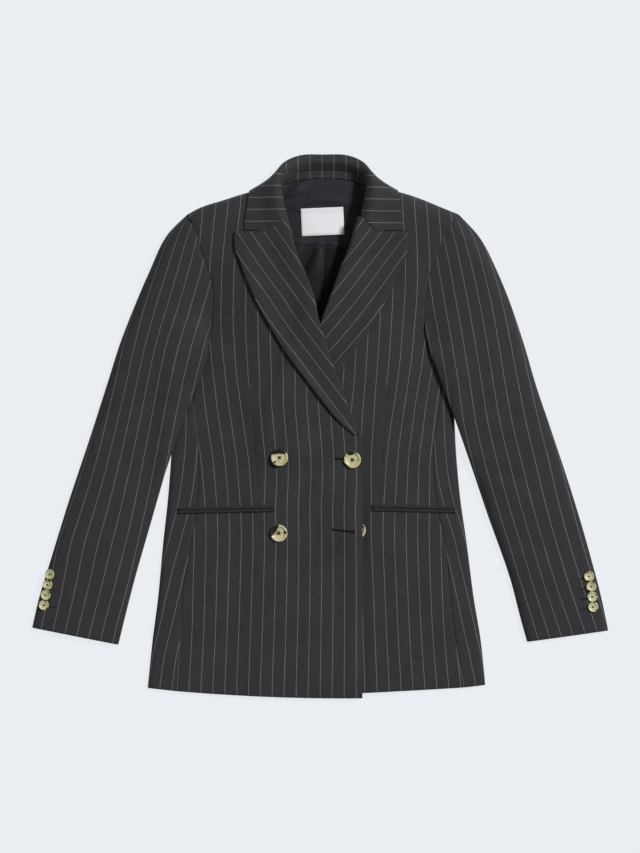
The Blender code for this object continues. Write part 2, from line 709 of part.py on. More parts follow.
def sleeve_point(station, place, pull=0.0, armhole_bow=None):
    """Outer point of a flattened sleeve. The place runs 0 to 1 round the outer fold's top,
    1 to 2 across the top, 2 to 3 and 3 to 4 round the inner fold, 4 to 5 across below and
    5 to 6 round the outer fold below. pull draws the point onto the armhole."""
    outer = np.array([station.outer_x, station.outer_y])
    inner = np.array([station.inner_x, station.inner_y])
    width = float(np.linalg.norm(inner - outer))
    zone = int(place % 6.0)
    t = place % 6.0 - zone
    turn = t * math.pi / 2
    inner_round = mix(station.round, CAP_INNER_ROUND, pull)
    if zone == 0:
        n, rise = station.round * (1 - math.cos(turn)), math.sin(turn)
    elif zone == 1:
        n, rise = mix(station.round, width - inner_round, t), 1.0
    elif zone == 2:
        n, rise = width - inner_round * (1 - math.sin(turn)), math.cos(turn)
    elif zone == 3:
        n, rise = width - SLEEVE_UNDER_ROUND * (1 - math.cos(turn)), -math.sin(turn)
    elif zone == 4:
        n, rise = mix(width - SLEEVE_UNDER_ROUND, SLEEVE_UNDER_ROUND, t), -1.0
    else:
        n, rise = SLEEVE_UNDER_ROUND * (1 - math.sin(turn)), -math.cos(turn)
    share = n / width
    x, y = mix(outer, inner, share)
    if pull > 0.0:
        x += pull * armhole_bow(share)
    lift = ground_lift(x, y)
    if rise < 0:
        return (x, y, lift + SLEEVE_MIDDLE * (1 + rise))
    crown = station.thick * (1 - 0.22 * (2 * share - 1) ** 2) + 0.4 * lift
    height = mix(SLEEVE_MIDDLE + lift, max(crown, lift + 7), rise)
    return (x, y, mix(height, under_top(x, y), pull * rise))


def sleeve_stations(table, count):
    line = through(table)
    return [Sleeve(*line(t)) for t in steps(0.0, 1.0, count)]


def outer_seam(along):
    """Place of the seam by the outer fold: under it at the shoulder, on top of it at the cuff."""
    return mix(-1.06, 1.04, ease((along - 0.42) / 0.25))


def place_step(station, place, distance, *cap):
    """The change of place that moves a sleeve's point by a distance."""
    here = np.array(sleeve_point(station, place, *cap))
    there = np.array(sleeve_point(station, place + 0.02, *cap))
    return 0.02 * distance / float(np.linalg.norm(there - here))


def armhole_line(first, armhole, outward):
    """How far the armhole's curve bows off a straight line, from 0 at the shoulder to 1 at the armpit."""
    def at(share):
        y = mix(first.outer_y, first.inner_y, share)
        x = armhole(y) + outward * mix(ARMPIT_GAP, ARMHOLE_GAP, ease((y - 150) / 30))
        tip = max(0.0, 1 - share / 0.08)
        return mix(x, first.outer_x, tip) - mix(first.outer_x, first.inner_x, share)

    return at


def cap_place(first, y):
    """Place across the top of the sleeve where the armhole has this y."""
    width = math.hypot(first.outer_x - first.inner_x, first.outer_y - first.inner_y)
    n = width * (first.outer_y - y) / (first.outer_y - first.inner_y)
    return 1 + (n - first.round) / (width - first.round - CAP_INNER_ROUND)


def make_sleeves():
    for side, table, armhole, outward, hem, stop in (
        ("right", RIGHT_SLEEVE, right_side, -1, RIGHT_HEM, UPPER_BREAK),
        ("left", LEFT_SLEEVE, left_side, 1, LEFT_HEM, UNDER_BREAK),
    ):
        armhole_bow = armhole_line(table[0], armhole, outward)
        cap_places = [cap_place(table[0], side_row_y(hem, along)) for along in front_stops(stop)[-2:-6:-1]]
        top_rows = []
        hind_rows = []
        stations = sleeve_stations(table, 18)
        for along, station in zip(steps(0.0, 1.0, 18), stations):
            cap = (1 - ease(along / CAP_REACH), armhole_bow)
            seam = outer_seam(along)
            seam_step = place_step(station, seam, SLEEVE_SEAM_GAP / 2, *cap)
            width = math.hypot(station.outer_x - station.inner_x, station.outer_y - station.inner_y)
            inner = 4 + INNER_SEAM_INSET / (width - 2 * SLEEVE_UNDER_ROUND)
            inner_step = place_step(station, inner, SLEEVE_SEAM_GAP / 2, *cap)
            places = steps(seam + seam_step, cap_places[0], 7) + cap_places[1:] + [2.0, 2.33, 2.66, 3.0, 3.5, 4.0]
            top_rows.append([sleeve_point(station, place, *cap) for place in places + [inner - inner_step]])
            places = [inner + inner_step] + steps(4.4, 6 + seam - seam_step, 9)
            hind_rows.append([sleeve_point(station, place, *cap) for place in places])
        make_wall(f"sleeve_top_{side}", top_rows, WALL, flip=(outward < 0))
        make_wall(f"sleeve_under_{side}", hind_rows, WALL, flip=(outward < 0))


# ---------------------------------------------------------------- pocket jets
def make_pockets():
    for pocket in POCKETS:
        trunk_top = right_trunk_top if pocket.side == "right" else left_trunk_top
        for name, centre in (("upper", 1), ("lower", -1)):
            rows = []
            for v in (-0.5, 0.5):
                row = []
                for t in steps(0.0, 1.0, 12):
                    x = mix(pocket.outer_x, pocket.inner_x, t)
                    y = mix(pocket.outer_y, pocket.inner_y, t)
                    y += centre * (JET_HEIGHT + GAP) / 2 + v * JET_HEIGHT
                    row.append((x, y, trunk_top(x, y) + SEAT + JET_WALL))
                rows.append(row)
            make_wall(f"jet_{name}_{pocket.side}", rows, JET_WALL, flip=(pocket.side == "left"))


# ---------------------------------------------------------------- buttons
ButtonRing = namedtuple("ButtonRing", "radius height")
BUTTON_PROFILE = [
    ButtonRing(0.0, 0.42),
    ButtonRing(0.66, 0.46),
    ButtonRing(0.78, 0.86),
    ButtonRing(0.90, 1.0),
    ButtonRing(1.0, 0.68),
    ButtonRing(0.93, 0.2),
    ButtonRing(0.6, 0.0),
    ButtonRing(0.0, 0.0),
]


def make_button(name, radius, thick, place, normal, sides):
    """A dished button: its half profile turned about its axis."""
    mesh = bpy.data.meshes.new(name)
    profile = [(ring.radius * radius * MM, 0.0, ring.height * thick * MM) for ring in BUTTON_PROFILE]
    mesh.from_pydata(profile, [(i, i + 1) for i in range(len(profile) - 1)], [])
    mesh.materials.append(finish(name, HORN, 0.35))
    piece = bpy.data.objects.new(name, mesh)
    parts.objects.link(piece)
    screw = piece.modifiers.new("turn", "SCREW")
    screw.steps = sides
    screw.render_steps = sides
    screw.use_merge_vertices = True
    screw.merge_threshold = 0.00001
    screw.use_smooth_shade = True
    piece.location = [c * MM for c in place]
    normal = np.array(normal) / np.linalg.norm(normal)
    piece.rotation_euler = (-math.asin(normal[1]), math.atan2(normal[0], normal[2]), 0.0)
    return piece


def make_front_buttons():
    for number, button in enumerate(FRONT_BUTTONS):
        front_top = left_front_top if number == HIDDEN_BUTTON else right_front_top
        below = [front_top(button.x + dx, button.y + dy) or 0.0 for dx in (-8, 0, 8) for dy in (-8, 0, 8)]
        place = (button.x, button.y, max(below) + GAP)
        make_button(f"button_front_{number + 1}", FRONT_BUTTON_RADIUS, 3.8, place, (0, 0, 1), 20)


ButtonRow = namedtuple("ButtonRow", "side table first_y place_first place_last")
SLEEVE_BUTTON_ROWS = [
    ButtonRow("right", RIGHT_SLEEVE, -207, 0.82, 1.02),
    ButtonRow("left", LEFT_SLEEVE, -211, 0.82, 1.02),
]
BUTTON_STEP = 14.8


def make_sleeve_buttons():
    """Four buttons touch in a row down the outer seam, tilted with the sleeve's round edge."""
    for row in SLEEVE_BUTTON_ROWS:
        line = through(row.table)
        for number in range(4):
            place = mix(row.place_first, row.place_last, number / 3)
            low, high = 0.0, 1.0
            for _ in range(30):
                along = (low + high) / 2
                point = sleeve_point(Sleeve(*line(along)), place)
                low, high = (along, high) if point[1] > row.first_y - BUTTON_STEP * number else (low, along)
            beside = sleeve_point(Sleeve(*line(along)), place + 0.15)
            slope = np.array(beside) - np.array(point)
            run = float(np.linalg.norm(slope[:2]))
            normal = np.array([-slope[0] * slope[2] / run, -slope[1] * slope[2] / run, run])
            normal = normal / np.linalg.norm(normal)
            seat = np.array(point) + normal * (GAP + 0.3)
            make_button(f"button_sleeve_{row.side}_{number + 1}", SLEEVE_BUTTON_RADIUS, 2.6, seat, normal, 14)


# ---------------------------------------------------------------- the jacket
clear_scene()
parts = bpy.data.collections.new("double_breasted_blazer")
bpy.context.scene.collection.children.link(parts)
make_backs()
make_sides()
make_fronts()
make_lapels()
make_collar()
make_lining()
make_label()
make_sleeves()
make_pockets()
make_front_buttons()
make_sleeve_buttons()
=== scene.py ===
from collections import namedtuple
from math import cos, dist, exp, hypot, pi, radians, sin, sqrt, tau
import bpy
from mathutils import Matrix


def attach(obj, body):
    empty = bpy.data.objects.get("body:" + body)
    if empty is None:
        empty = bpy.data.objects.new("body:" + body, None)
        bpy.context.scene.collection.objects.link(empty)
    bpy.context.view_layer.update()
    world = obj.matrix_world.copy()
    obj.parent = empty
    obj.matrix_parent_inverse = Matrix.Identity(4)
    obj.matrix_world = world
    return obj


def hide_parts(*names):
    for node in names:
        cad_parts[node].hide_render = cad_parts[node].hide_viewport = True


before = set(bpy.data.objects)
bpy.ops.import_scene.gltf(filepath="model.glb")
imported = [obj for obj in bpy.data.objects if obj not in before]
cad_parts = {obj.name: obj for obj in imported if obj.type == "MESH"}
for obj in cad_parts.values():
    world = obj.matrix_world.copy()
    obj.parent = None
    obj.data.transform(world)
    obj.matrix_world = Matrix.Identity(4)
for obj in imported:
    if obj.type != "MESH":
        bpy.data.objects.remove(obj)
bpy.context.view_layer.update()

from types import SimpleNamespace

import bpy
import numpy as np
from mathutils import Matrix, Vector
from mathutils.bvhtree import BVHTree

# ======================== the table it lies on
# The jacket lies flat on a plain pale table, lit through from below as for cut-outs, and
# is seen from straight above through a long lens. The key lamp stands to its right.
MM = 0.001
LONG_SIDE = 1.1942          # of the floor that the picture takes in
VIEW_HEIGHT = 5.0
CLOTH_HEIGHT = 0.016        # the jacket's middle layer, where the scale is right
SENSOR = 36.0
NEAR_CLIP = 0.05
TABLE_REACH = 8.0
CORNERS = [(-1, -1), (1, -1), (1, 1), (-1, 1)]
PALE = (0.07, 0.072, 0.076)
TABLE_GLOW = (0.766, 0.797, 0.832, 1)
SKY = (0.93, 0.96, 1.0, 1)
SKY_STRENGTH = 0.17

scene = bpy.context.scene
scene.view_settings.view_transform = "Standard"


def new_object(name, data):
    made = bpy.data.objects.new(name, data)
    scene.collection.objects.link(made)
    return made


def new_mesh(name, points, faces, edges=()):
    mesh = bpy.data.meshes.new(name)
    mesh.from_pydata(points, list(edges), faces)
    return mesh


def fill(tree, node, inputs):
    """Links or sets a node's inputs, by name or number."""
    for key, value in inputs.items():
        if isinstance(value, bpy.types.NodeSocket):
            tree.links.new(value, node.inputs[key])
        else:
            node.inputs[key].default_value = value


def add(tree, kind, inputs=None, **settings):
    """A node with its settings and inputs."""
    made = tree.nodes.new(kind)
    for name, value in settings.items():
        setattr(made, name, value)
    fill(tree, made, inputs or {})
    return made


def sums(tree, operation, *values):
    """The result of a Math node."""
    return add(tree, "ShaderNodeMath", dict(enumerate(values)), operation=operation).outputs[0]


def product(tree, value, *others):
    for other in others:
        value = sums(tree, "MULTIPLY", value, other)
    return value


def noise(tree, place, scale, detail, **more):
    inputs = {"Vector": place, "Scale": scale, "Detail": detail, **more}
    return add(tree, "ShaderNodeTexNoise", inputs).outputs[0]


def ranged(tree, value, start, end, low=0.3, high=0.7, **settings):
    """A value between low and high, moved to the range from start to end."""
    inputs = {0: value, 1: low, 2: high, 3: start, 4: end}
    return add(tree, "ShaderNodeMapRange", inputs, **settings).outputs[0]


def tinted(tree, color, tone):
    return add(tree, "ShaderNodeVectorMath", {0: color, "Scale": tone}, operation="SCALE").outputs[0]


def new_material(name, space="grain"):
    """An empty material, its nodes, its shader, and its place in the piece's own map or in Object."""
    material = bpy.data.materials.new(name)
    material.use_nodes = True
    tree = material.node_tree
    if space == "grain":
        place = add(tree, "ShaderNodeUVMap", uv_map=space).outputs[0]
    else:
        place = add(tree, "ShaderNodeTexCoord").outputs[space]
    return material, tree, tree.nodes["Principled BSDF"], place


def make_table():
    points = [(x * TABLE_REACH, y * TABLE_REACH, 0) for x, y in CORNERS]
    mesh = new_mesh("table_top", points, [(0, 1, 2, 3)])
    table = new_object("table_top", mesh)
    material, tree, shader, place = new_material("pale_paper", "Object")
    shade = ranged(tree, noise(tree, place, 40.0, 3.0), 0.992, 1.0, 0.0, 1.0)
    fill(tree, shader, {
        "Base Color": tinted(tree, PALE, shade), "Roughness": 0.9, "Specular IOR Level": 0.0,
        "Emission Color": TABLE_GLOW, "Emission Strength": 1.0})
    mesh.materials.append(material)


def make_lamp(name, place, size, power, color):
    lamp = new_object(name, bpy.data.lights.new(name, "AREA"))
    lamp.data.shape = "DISK"
    lamp.data.size = size
    lamp.data.energy = power
    lamp.data.color = color
    lamp.location = place
    lamp.rotation_euler = Vector(place).to_track_quat("Z", "Y").to_euler()


camera = new_object("camera", bpy.data.cameras.new("camera"))
camera.location = (-0.28 * MM, -0.56 * MM, VIEW_HEIGHT + CLOTH_HEIGHT)
camera.data.sensor_width = SENSOR
camera.data.lens = SENSOR * VIEW_HEIGHT / LONG_SIDE
camera.data.clip_start = NEAR_CLIP
scene.camera = camera
make_table()
make_lamp("key_lamp", (9.2, 5.6, 12.0), 2.8, 2260.0, (1.0, 0.985, 0.96))
make_lamp("fill_lamp", (-2.6, 0.6, 3.0), 2.0, 12.0, (0.95, 0.975, 1.0))
world = bpy.data.worlds.new("studio")
scene.world = world
world.use_nodes = True
fill(world.node_tree, world.node_tree.nodes["Background"], {"Color": SKY, "Strength": SKY_STRENGTH})

# ======================== backs
# Two back panels of dark wool suiting, joined by the centre back seam, lie on the table
# under everything else. The cloth is a fine twill with pale pinstripes woven in.
STRIPE_PITCH = 16.4         # from one pinstripe to the next
STRIPE_WIDTH = 0.85
STRIPE_COLOR = (0.171, 0.173, 0.177, 1)
STRIPE_WANDER = 0.0004
PIN_PITCH = 0.0011          # a pinstripe is a row of pin points
TWILL_PITCH = 0.00095
WALL = 1.8                  # cloth with its interlining
TURNED_WALL = 2.0           # lapels and collar, two layers pressed together
GAP = 0.3
SHOULDER_TIP_Y = 297.0
SHOULDER_SLOPE = 0.95       # depth square to the shoulder line over depth in y
SHOULDER_MIDDLE = 8.0
SHOULDER_SEAM = 0.7
SHOULDER_TOP_ROUND = 18.0
SHOULDER_UNDER_ROUND = 9.0
ARC = [15, 30, 45, 60, 75, 90]
BACK_ROWS = 130
BACK_COLUMNS = 38
BACK_WIDTH = 190.0
BACK_STRIPE_OFF = 0.3       # stripes between the centre back and the first one beside it
BACK_SEAM_LOW_Y = -370      # the hidden seam between side panel and back starts here
BACK_SEAM_LENGTH = 490
BACK_ARMHOLE_INSET = 1.6
CENTRE_BACK_GAP = 0.05      # each half stops this short of the centre seam
ARMHOLE_LOW_Y = 126         # above this the back follows the armhole
ARMHOLE_RAMP = 20
CENTRE_BACK_HEM_X = -5.0
CENTRE_BACK_NECK_X = 5.0
COLLAR_FALL_LIFT = 2.8      # the back lies this high over the collar's fall
COLLAR_FALL_LOW_Y = 296
COLLAR_FALL_HALF = 96
COLLAR_FALL_RAMP = 18       # it rises over this length
NECK_RAMP = 16              # and runs out over this one beside the neck
NECK_OPENING_HALF = 52      # within this the back's top edge isn't rounded off
NECK_Y = 347.0              # neck seam at the centre back
NECK_DIP = 13.0
NECK_HALF = 71.0
RIM_STEPS = 3               # points round a folded edge
FREE_EDGE = 0.85            # how far an edge's fold stands out, over half its wall
SEWN_EDGE = 0.1


def table_of(names, *rows):
    """Rows of a table with named columns."""
    kind = namedtuple("Row", names)
    return [kind(*row) for row in rows]


EDGES = table_of(
    "y right left",
    (-370, -242, 232), (-300, -235, 225), (-245, -228, 216), (-160, -220, 205), (-105, -214, 197),
    (-40, -209, 191), (40, -205, 187), (90, -200, 184), (120, -190, 175))
SEAMS = table_of(           # side seams, and above y = 130 the armholes
    "y right left",
    (-370, -203, 201), (-300, -197, 190), (-245, -194, 183), (-160, -181, 174), (-105, -173, 162),
    (-40, -171, 158), (40, -179, 168), (90, -176, 171), (120, -162, 156), (130, -155, 149.5),
    (150, -152, 147.2), (177, -150, 148), (199, -152, 150), (217, -157, 153.5), (234, -162.5, 160),
    (252, -168.5, 168), (275, -175, 178), (297, -186, 194))
HEIGHTS = table_of(         # of the jacket's top at its two edges and in its middle
    "y right_x left_x edge middle",
    (-382, -244, 234, 8.0, 9.0), (-245, -228, 216, 9.0, 11.0), (-105, -214, 197, 10.0, 13.0),
    (-40, -209, 191, 10.0, 14.5), (40, -203, 186, 9.5, 18.0), (90, -190, 178, 9.0, 21.0),
    (122, -170, 162, 10.0, 23.5), (150, -158, 152, 13.5, 25.5), (199, -154, 152, 20.5, 27.5),
    (252, -169, 169, 26.5, 30.0), (300, -186, 195, 29.0, 31.0), (350, -190, 200, 29.0, 31.0))
RIGHT_SHOULDER = table_of(
    "x y",
    (-186, 297), (-171, 305), (-135, 317), (-101, 327.5), (-66, 334))
LEFT_SHOULDER = table_of(
    "x y",
    (76, 334), (117, 326.5), (145, 317), (169, 307), (194, 297))
CREASE = "x y angle length width depth"
BACK_CREASES = table_of(
    CREASE,
    (-60, 40, 8, 90, 13, 1.3), (35, 65, -12, 70, 10, 1.0), (80, -10, 14, 80, 15, 1.4),
    (-110, -30, -10, 60, 11, 0.9), (-5, -180, 88, 160, 9, 0.8), (110, 170, 38, 60, 12, 1.1),
    (-105, 180, -34, 70, 10, 1.2), (-120, -230, 74, 90, 14, 0.8), (125, -250, -80, 80, 12, 0.9))


def ease(t):
    t = min(max(t, 0.0), 1.0)
    return t * t * (3 - 2 * t)


def ramp(value, start, width):
    """A soft step from 0 at its start to 1 past its width."""
    return ease((value - start) / width)


def mix(a, b, t):
    return a + (b - a) * t


def steps(start, end, count):
    return [mix(start, end, i / count) for i in range(count + 1)]


def near_edges(count, reach, *finer):
    """Shares from 0 to 1 with more of them by the ends, where a seam or fold needs them."""
    even = set(steps(0.0, 1.0, count))
    for distance in finer:
        even |= {distance / reach, 1 - distance / reach}
    return sorted(even)


def quarter(t):
    """Height of a quarter circle at t of the way in from its edge."""
    t = min(max(t, 0.0), 1.0)
    return sqrt(max(0.0, 1 - (1 - t) ** 2))


def smooth_line(keys, values):
    """A smooth curve through values at their keys, as a function of the key."""
    keys = np.array(keys, float)
    values = np.array(values, float)
    slopes = np.gradient(values, keys, axis=0)

    def at(key):
        key = min(max(key, keys[0]), keys[-1])
        row = int(min(max(np.searchsorted(keys, key, side="right") - 1, 0), len(keys) - 2))
        span = keys[row + 1] - keys[row]
        t = (key - keys[row]) / span
        start = (2 * t**3 - 3 * t**2 + 1) * values[row] + (t**3 - 2 * t**2 + t) * span * slopes[row]
        end = (3 * t**2 - 2 * t**3) * values[row + 1] + (t**3 - t**2) * span * slopes[row + 1]
        return start + end

    return at


def through(points):
    """A smooth curve through points in order, as a function of 0 to 1 along its length."""
    points = np.array(points, float)
    lengths = np.linalg.norm(np.diff(points, axis=0), axis=1)
    return smooth_line(np.concatenate([[0.0], np.cumsum(lengths)]) / lengths.sum(), points)


def columns(table, *names):
    """A table's columns: plain values for one name, rows of values for several."""
    rows = [[getattr(row, name) for name in names] for row in table]
    return rows if names[1:] else [value for value, in rows]


def curve(table, key, *names):
    """A smooth curve through a table's rows, as a function of its key."""
    rows = sorted(table, key=lambda row: getattr(row, key))
    return smooth_line(columns(rows, key), columns(rows, *names))


def crease_height(creases, x, y):
    """Soft ridges and troughs, each with a low swell of the other sign beside it."""
    height = 0.0
    for crease in creases:
        turn = radians(crease.angle)
        dx, dy = x - crease.x, y - crease.y
        along = (dx * cos(turn) + dy * sin(turn)) / crease.length
        across = (dy * cos(turn) - dx * sin(turn)) / crease.width
        if abs(along) < 2.5 and abs(across) < 3.5:
            height += crease.depth * (1 - 0.5 * across**2) * exp(-along**2 - 0.5 * across**2)
    return height


# The wearer's two sides. inward is the x direction from a side to the middle, and back_line
# is where the hidden seam between side panel and back starts and ends.
RIGHT, LEFT = (
    SimpleNamespace(name=name, inward=inward, edge=curve(EDGES, "y", name), seam=curve(SEAMS, "y", name),
                    shoulder=curve(shoulder, "x", "y"), back_line=back_line)
    for name, inward, shoulder, back_line in (
        ("right", 1, RIGHT_SHOULDER, (-194, -146)), ("left", -1, LEFT_SHOULDER, (184, 136))))
height_row = curve(HEIGHTS, "y", "right_x", "left_x", "edge", "middle")


def back_seam(side, y):
    return mix(*side.back_line, (y - BACK_SEAM_LOW_Y) / BACK_SEAM_LENGTH)


def shoulder_depth(x, y):
    """How far a point lies in from the shoulder line."""
    side = RIGHT if x < CENTRE_BACK_NECK_X else LEFT
    return (side.shoulder(x) - y) * SHOULDER_SLOPE


def back_under(x, y):
    """Underside of the back: flat on the table, lifted over the collar's fall and round the shoulder."""
    off_centre = abs(x - CENTRE_BACK_NECK_X)
    over_fall = ease((y - COLLAR_FALL_LOW_Y) / COLLAR_FALL_RAMP)
    lift = COLLAR_FALL_LIFT * over_fall * (1 - ease((off_centre - COLLAR_FALL_HALF) / NECK_RAMP))
    depth = shoulder_depth(x, y)
    if depth < SHOULDER_UNDER_ROUND:
        rounded = mix(SHOULDER_MIDDLE - SHOULDER_SEAM / 2, lift, quarter(depth / SHOULDER_UNDER_ROUND))
        lift = mix(rounded, lift, 1 - ease((off_centre - NECK_OPENING_HALF) / NECK_RAMP))
    return lift


def back_ridges(x, y):
    return max(0.0, crease_height(BACK_CREASES, x, y))


def neck_line(x):
    """The back neck seam dips towards the shoulders."""
    return NECK_Y - NECK_DIP * ((x - CENTRE_BACK_NECK_X) / NECK_HALF) ** 2


def over_shoulder(stops):
    """Stops from hem to shoulder, each with angle 0, and then the angles round the shoulder."""
    return [(along, 0.0) for along in stops] + [(1.0, angle) for angle in ARC]


def row_end(hem, top, radius, along, angle=0.0):
    """y of a row's end between hem and shoulder."""
    return mix(hem, top - radius * (1 - sin(radians(angle))) / SHOULDER_SLOPE, along)


def stretched(tree, place, across, along):
    """Coordinates drawn out along the threads."""
    return add(tree, "ShaderNodeMapping", {"Vector": place, "Scale": (across, along, 1.0)}).outputs[0]


def blended(tree, factor, first, second):
    inputs = {"Factor": factor, "A": first, "B": second}
    return add(tree, "ShaderNodeMix", inputs, data_type="RGBA").outputs["Result"]


def bumped(tree, strength, distance, height):
    inputs = {"Strength": strength, "Distance": distance, "Height": height}
    return add(tree, "ShaderNodeBump", inputs).outputs[0]


def make_suiting(name, striped, shade):
    """Charcoal wool twill. The piece's map gives metres across and along the grain."""
    material, tree, shader, grain = new_material(name)
    parts = add(tree, "ShaderNodeSeparateXYZ", {0: grain})
    across, along = parts.outputs[0], parts.outputs[1]
    melange = noise(tree, grain, 1500.0, 2.0, Roughness=0.7)
    cloudy = noise(tree, grain, 26.0, 3.0)
    slub = noise(tree, stretched(tree, grain, 900.0, 55.0), 1.0, 2.0)
    tone = product(tree, ranged(tree, melange, 0.74, 1.26), ranged(tree, cloudy, 0.93, 1.07),
                   ranged(tree, slub, 0.9, 1.1))
    ground = tinted(tree, shade, tone)
    rib = sums(tree, "SINE", product(tree, sums(tree, "ADD", across, along), tau / TWILL_PITCH))
    relief = sums(tree, "ADD", product(tree, rib, 0.35), melange)
    if striped:
        wander = product(tree, sums(tree, "SUBTRACT", slub, 0.5), STRIPE_WANDER)
        turns = sums(tree, "DIVIDE", sums(tree, "ADD", across, wander), STRIPE_PITCH * MM)
        offset = sums(tree, "SUBTRACT", sums(tree, "FRACT", sums(tree, "ADD", turns, 0.5)), 0.5)
        distance = product(tree, sums(tree, "ABSOLUTE", offset), STRIPE_PITCH * MM)
        half = STRIPE_WIDTH * MM / 2
        line = ranged(tree, distance, 0.0, 1.0, half * 1.35, half * 0.65, interpolation_type="SMOOTHSTEP")
        pins = sums(tree, "SINE", product(tree, along, tau / PIN_PITCH))
        mask = product(tree, line, ranged(tree, pins, 0.78, 1.0, -1.0, 1.0),
                       ranged(tree, cloudy, 0.82, 1.1, 0.25, 0.75))
        ground = blended(tree, mask, ground, STRIPE_COLOR)
        relief = sums(tree, "ADD", relief, product(tree, mask, 0.5))
    fill(tree, shader, {
        "Base Color": ground, "Normal": bumped(tree, 0.35, 0.00025, relief), "Roughness": 0.82,
        "Specular IOR Level": 0.22, "Sheen Weight": 0.06, "Sheen Roughness": 0.45,
        "Sheen Tint": (0.75, 0.77, 0.85, 1)})
    return material


pinstripe_suiting = make_suiting("pinstripe_suiting", True, (0.0335, 0.0325, 0.0355))
plain_suiting = make_suiting("plain_suiting", False, (0.026, 0.025, 0.028))


def make_cloth(name, node, rows, grain, wall=WALL, material=pinstripe_suiting,
               flip=False, middle=False, seams="", split=0):
    """A cloth piece: a lofted surface with a wall and folded edges. rows hold outer points in mm,
    grain the map of the same points. seams names the edges that are sewn to another piece and so
    don't stand out: l and r for the first and last column, b and t for the first and last row.
    split is a column where the pattern jumps, and grain then holds a map for either side of it."""
    outer = np.array(rows, float) * MM
    turn = np.cross(np.gradient(outer, axis=1), np.gradient(outer, axis=0)) * (-1 if flip else 1)
    normal = turn / np.maximum(np.linalg.norm(turn, axis=2, keepdims=True), 1e-12)
    if middle:
        outer = outer + normal * wall * MM / 2
    away = np.zeros_like(outer)
    for edge, here, inside in (("l", np.s_[:, 0], np.s_[:, 1]), ("r", np.s_[:, -1], np.s_[:, -2]),
                               ("b", np.s_[0], np.s_[1]), ("t", np.s_[-1], np.s_[-2])):
        step = outer[here] - outer[inside]
        length = np.maximum(np.linalg.norm(step, axis=1, keepdims=True), 1e-9)
        away[here] += step / length * (SEWN_EDGE if edge in seams else FREE_EDGE)
    count, wide = outer.shape[:2]
    total = count * wide
    number = np.arange(total).reshape(count, wide)
    border = np.concatenate([number[0, :-1], number[:-1, -1], number[-1, :0:-1], number[:0:-1, 0]])
    outer, normal, away = (each.reshape(-1, 3) for each in (outer, normal, away))
    points, ladder = [outer, outer - normal * wall * MM], [border]
    for ring in range(RIM_STEPS):
        angle = pi * (ring + 1) / (RIM_STEPS + 1)
        fold = away * sin(angle) - normal * (1 - cos(angle))
        points.append((outer + fold * wall * MM / 2)[border])
        ladder.append(2 * total + ring * len(border) + np.arange(len(border)))
    ladder = np.array(ladder + [border + total])
    onward = np.roll(ladder, -1, axis=1)
    a, b, c, d = number[:-1, :-1], number[:-1, 1:], number[1:, 1:], number[1:, :-1]
    walls = np.stack([np.stack([d, c, b, a], -1), np.stack([a, b, c, d], -1) + total], 2)
    rim = np.stack([ladder[:-1], onward[:-1], onward[1:], ladder[1:]], -1).transpose(1, 0, 2)
    faces = np.concatenate([walls.reshape(-1, 4), rim.reshape(-1, 4)])
    if not flip:
        faces = faces[:, ::-1]
    on_map = np.concatenate([number.ravel(), number.ravel(), np.tile(border, RIM_STEPS)])[faces]
    at_border = border % wide
    beyond = np.concatenate([np.tile(np.repeat(np.arange(wide - 1) >= split, 2), count - 1),
                             np.repeat((at_border + np.roll(at_border, -1)) / 2 > split, RIM_STEPS + 1)])
    maps = grain if split else (grain, grain)
    first, second = (np.array(each, float).reshape(-1, 2)[on_map] for each in maps)
    mesh = new_mesh(name, np.concatenate(points).tolist(), faces.tolist())
    layer = mesh.uv_layers.new(name="grain")
    layer.data.foreach_set("uv", np.where(beyond[:, None, None], second, first).astype(np.float32).ravel())
    mesh.shade_smooth()
    mesh.materials.append(material)
    piece = new_object(name, mesh)
    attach(piece, "root")
    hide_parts(node)


def make_backs():
    for side, neck_x, side_hem, centre_hem in ((RIGHT, -66, -370, -379), (LEFT, 76, -366.5, -377.5)):
        rows = []
        for along, angle in over_shoulder(steps(0.0, 1.0, BACK_ROWS)):
            side_y = row_end(side_hem, SHOULDER_TIP_Y, SHOULDER_UNDER_ROUND, along, angle)
            centre_y = row_end(centre_hem, NECK_Y, SHOULDER_UNDER_ROUND, along, angle)
            outer = mix(back_seam(side, side_y), side.seam(side_y) + side.inward * BACK_ARMHOLE_INSET,
                        ease((side_y - ARMHOLE_LOW_Y) / ARMHOLE_RAMP))
            up = (centre_y - centre_hem) / (NECK_Y - centre_hem)
            centre = mix(CENTRE_BACK_HEM_X, CENTRE_BACK_NECK_X, up)
            at_side = mix(side.shoulder(outer), SHOULDER_TIP_Y, angle / 90)
            row = []
            for across in near_edges(BACK_COLUMNS, BACK_WIDTH, 1.0, 2.5):
                x = mix(outer, centre - side.inward * CENTRE_BACK_GAP, across)
                top = side.shoulder(x) if (x - neck_x) * side.inward < 0 else neck_line(x)
                y = mix(side_y, centre_y, across)
                y += (top - mix(at_side, neck_line(centre), across)) * along ** 6
                row.append((x, y, back_under(x, y) + back_ridges(x, y)))
            rows.append(row)
        shift = side.inward * BACK_STRIPE_OFF * STRIPE_PITCH
        grain = [[((x - shift) * MM, y * MM) for x, y, z in row] for row in rows]
        make_cloth(f"back_{side.name}_panel", f"back_{side.name}", rows, grain,
                   flip=(side.inward > 0), seams="lrt")


make_backs()

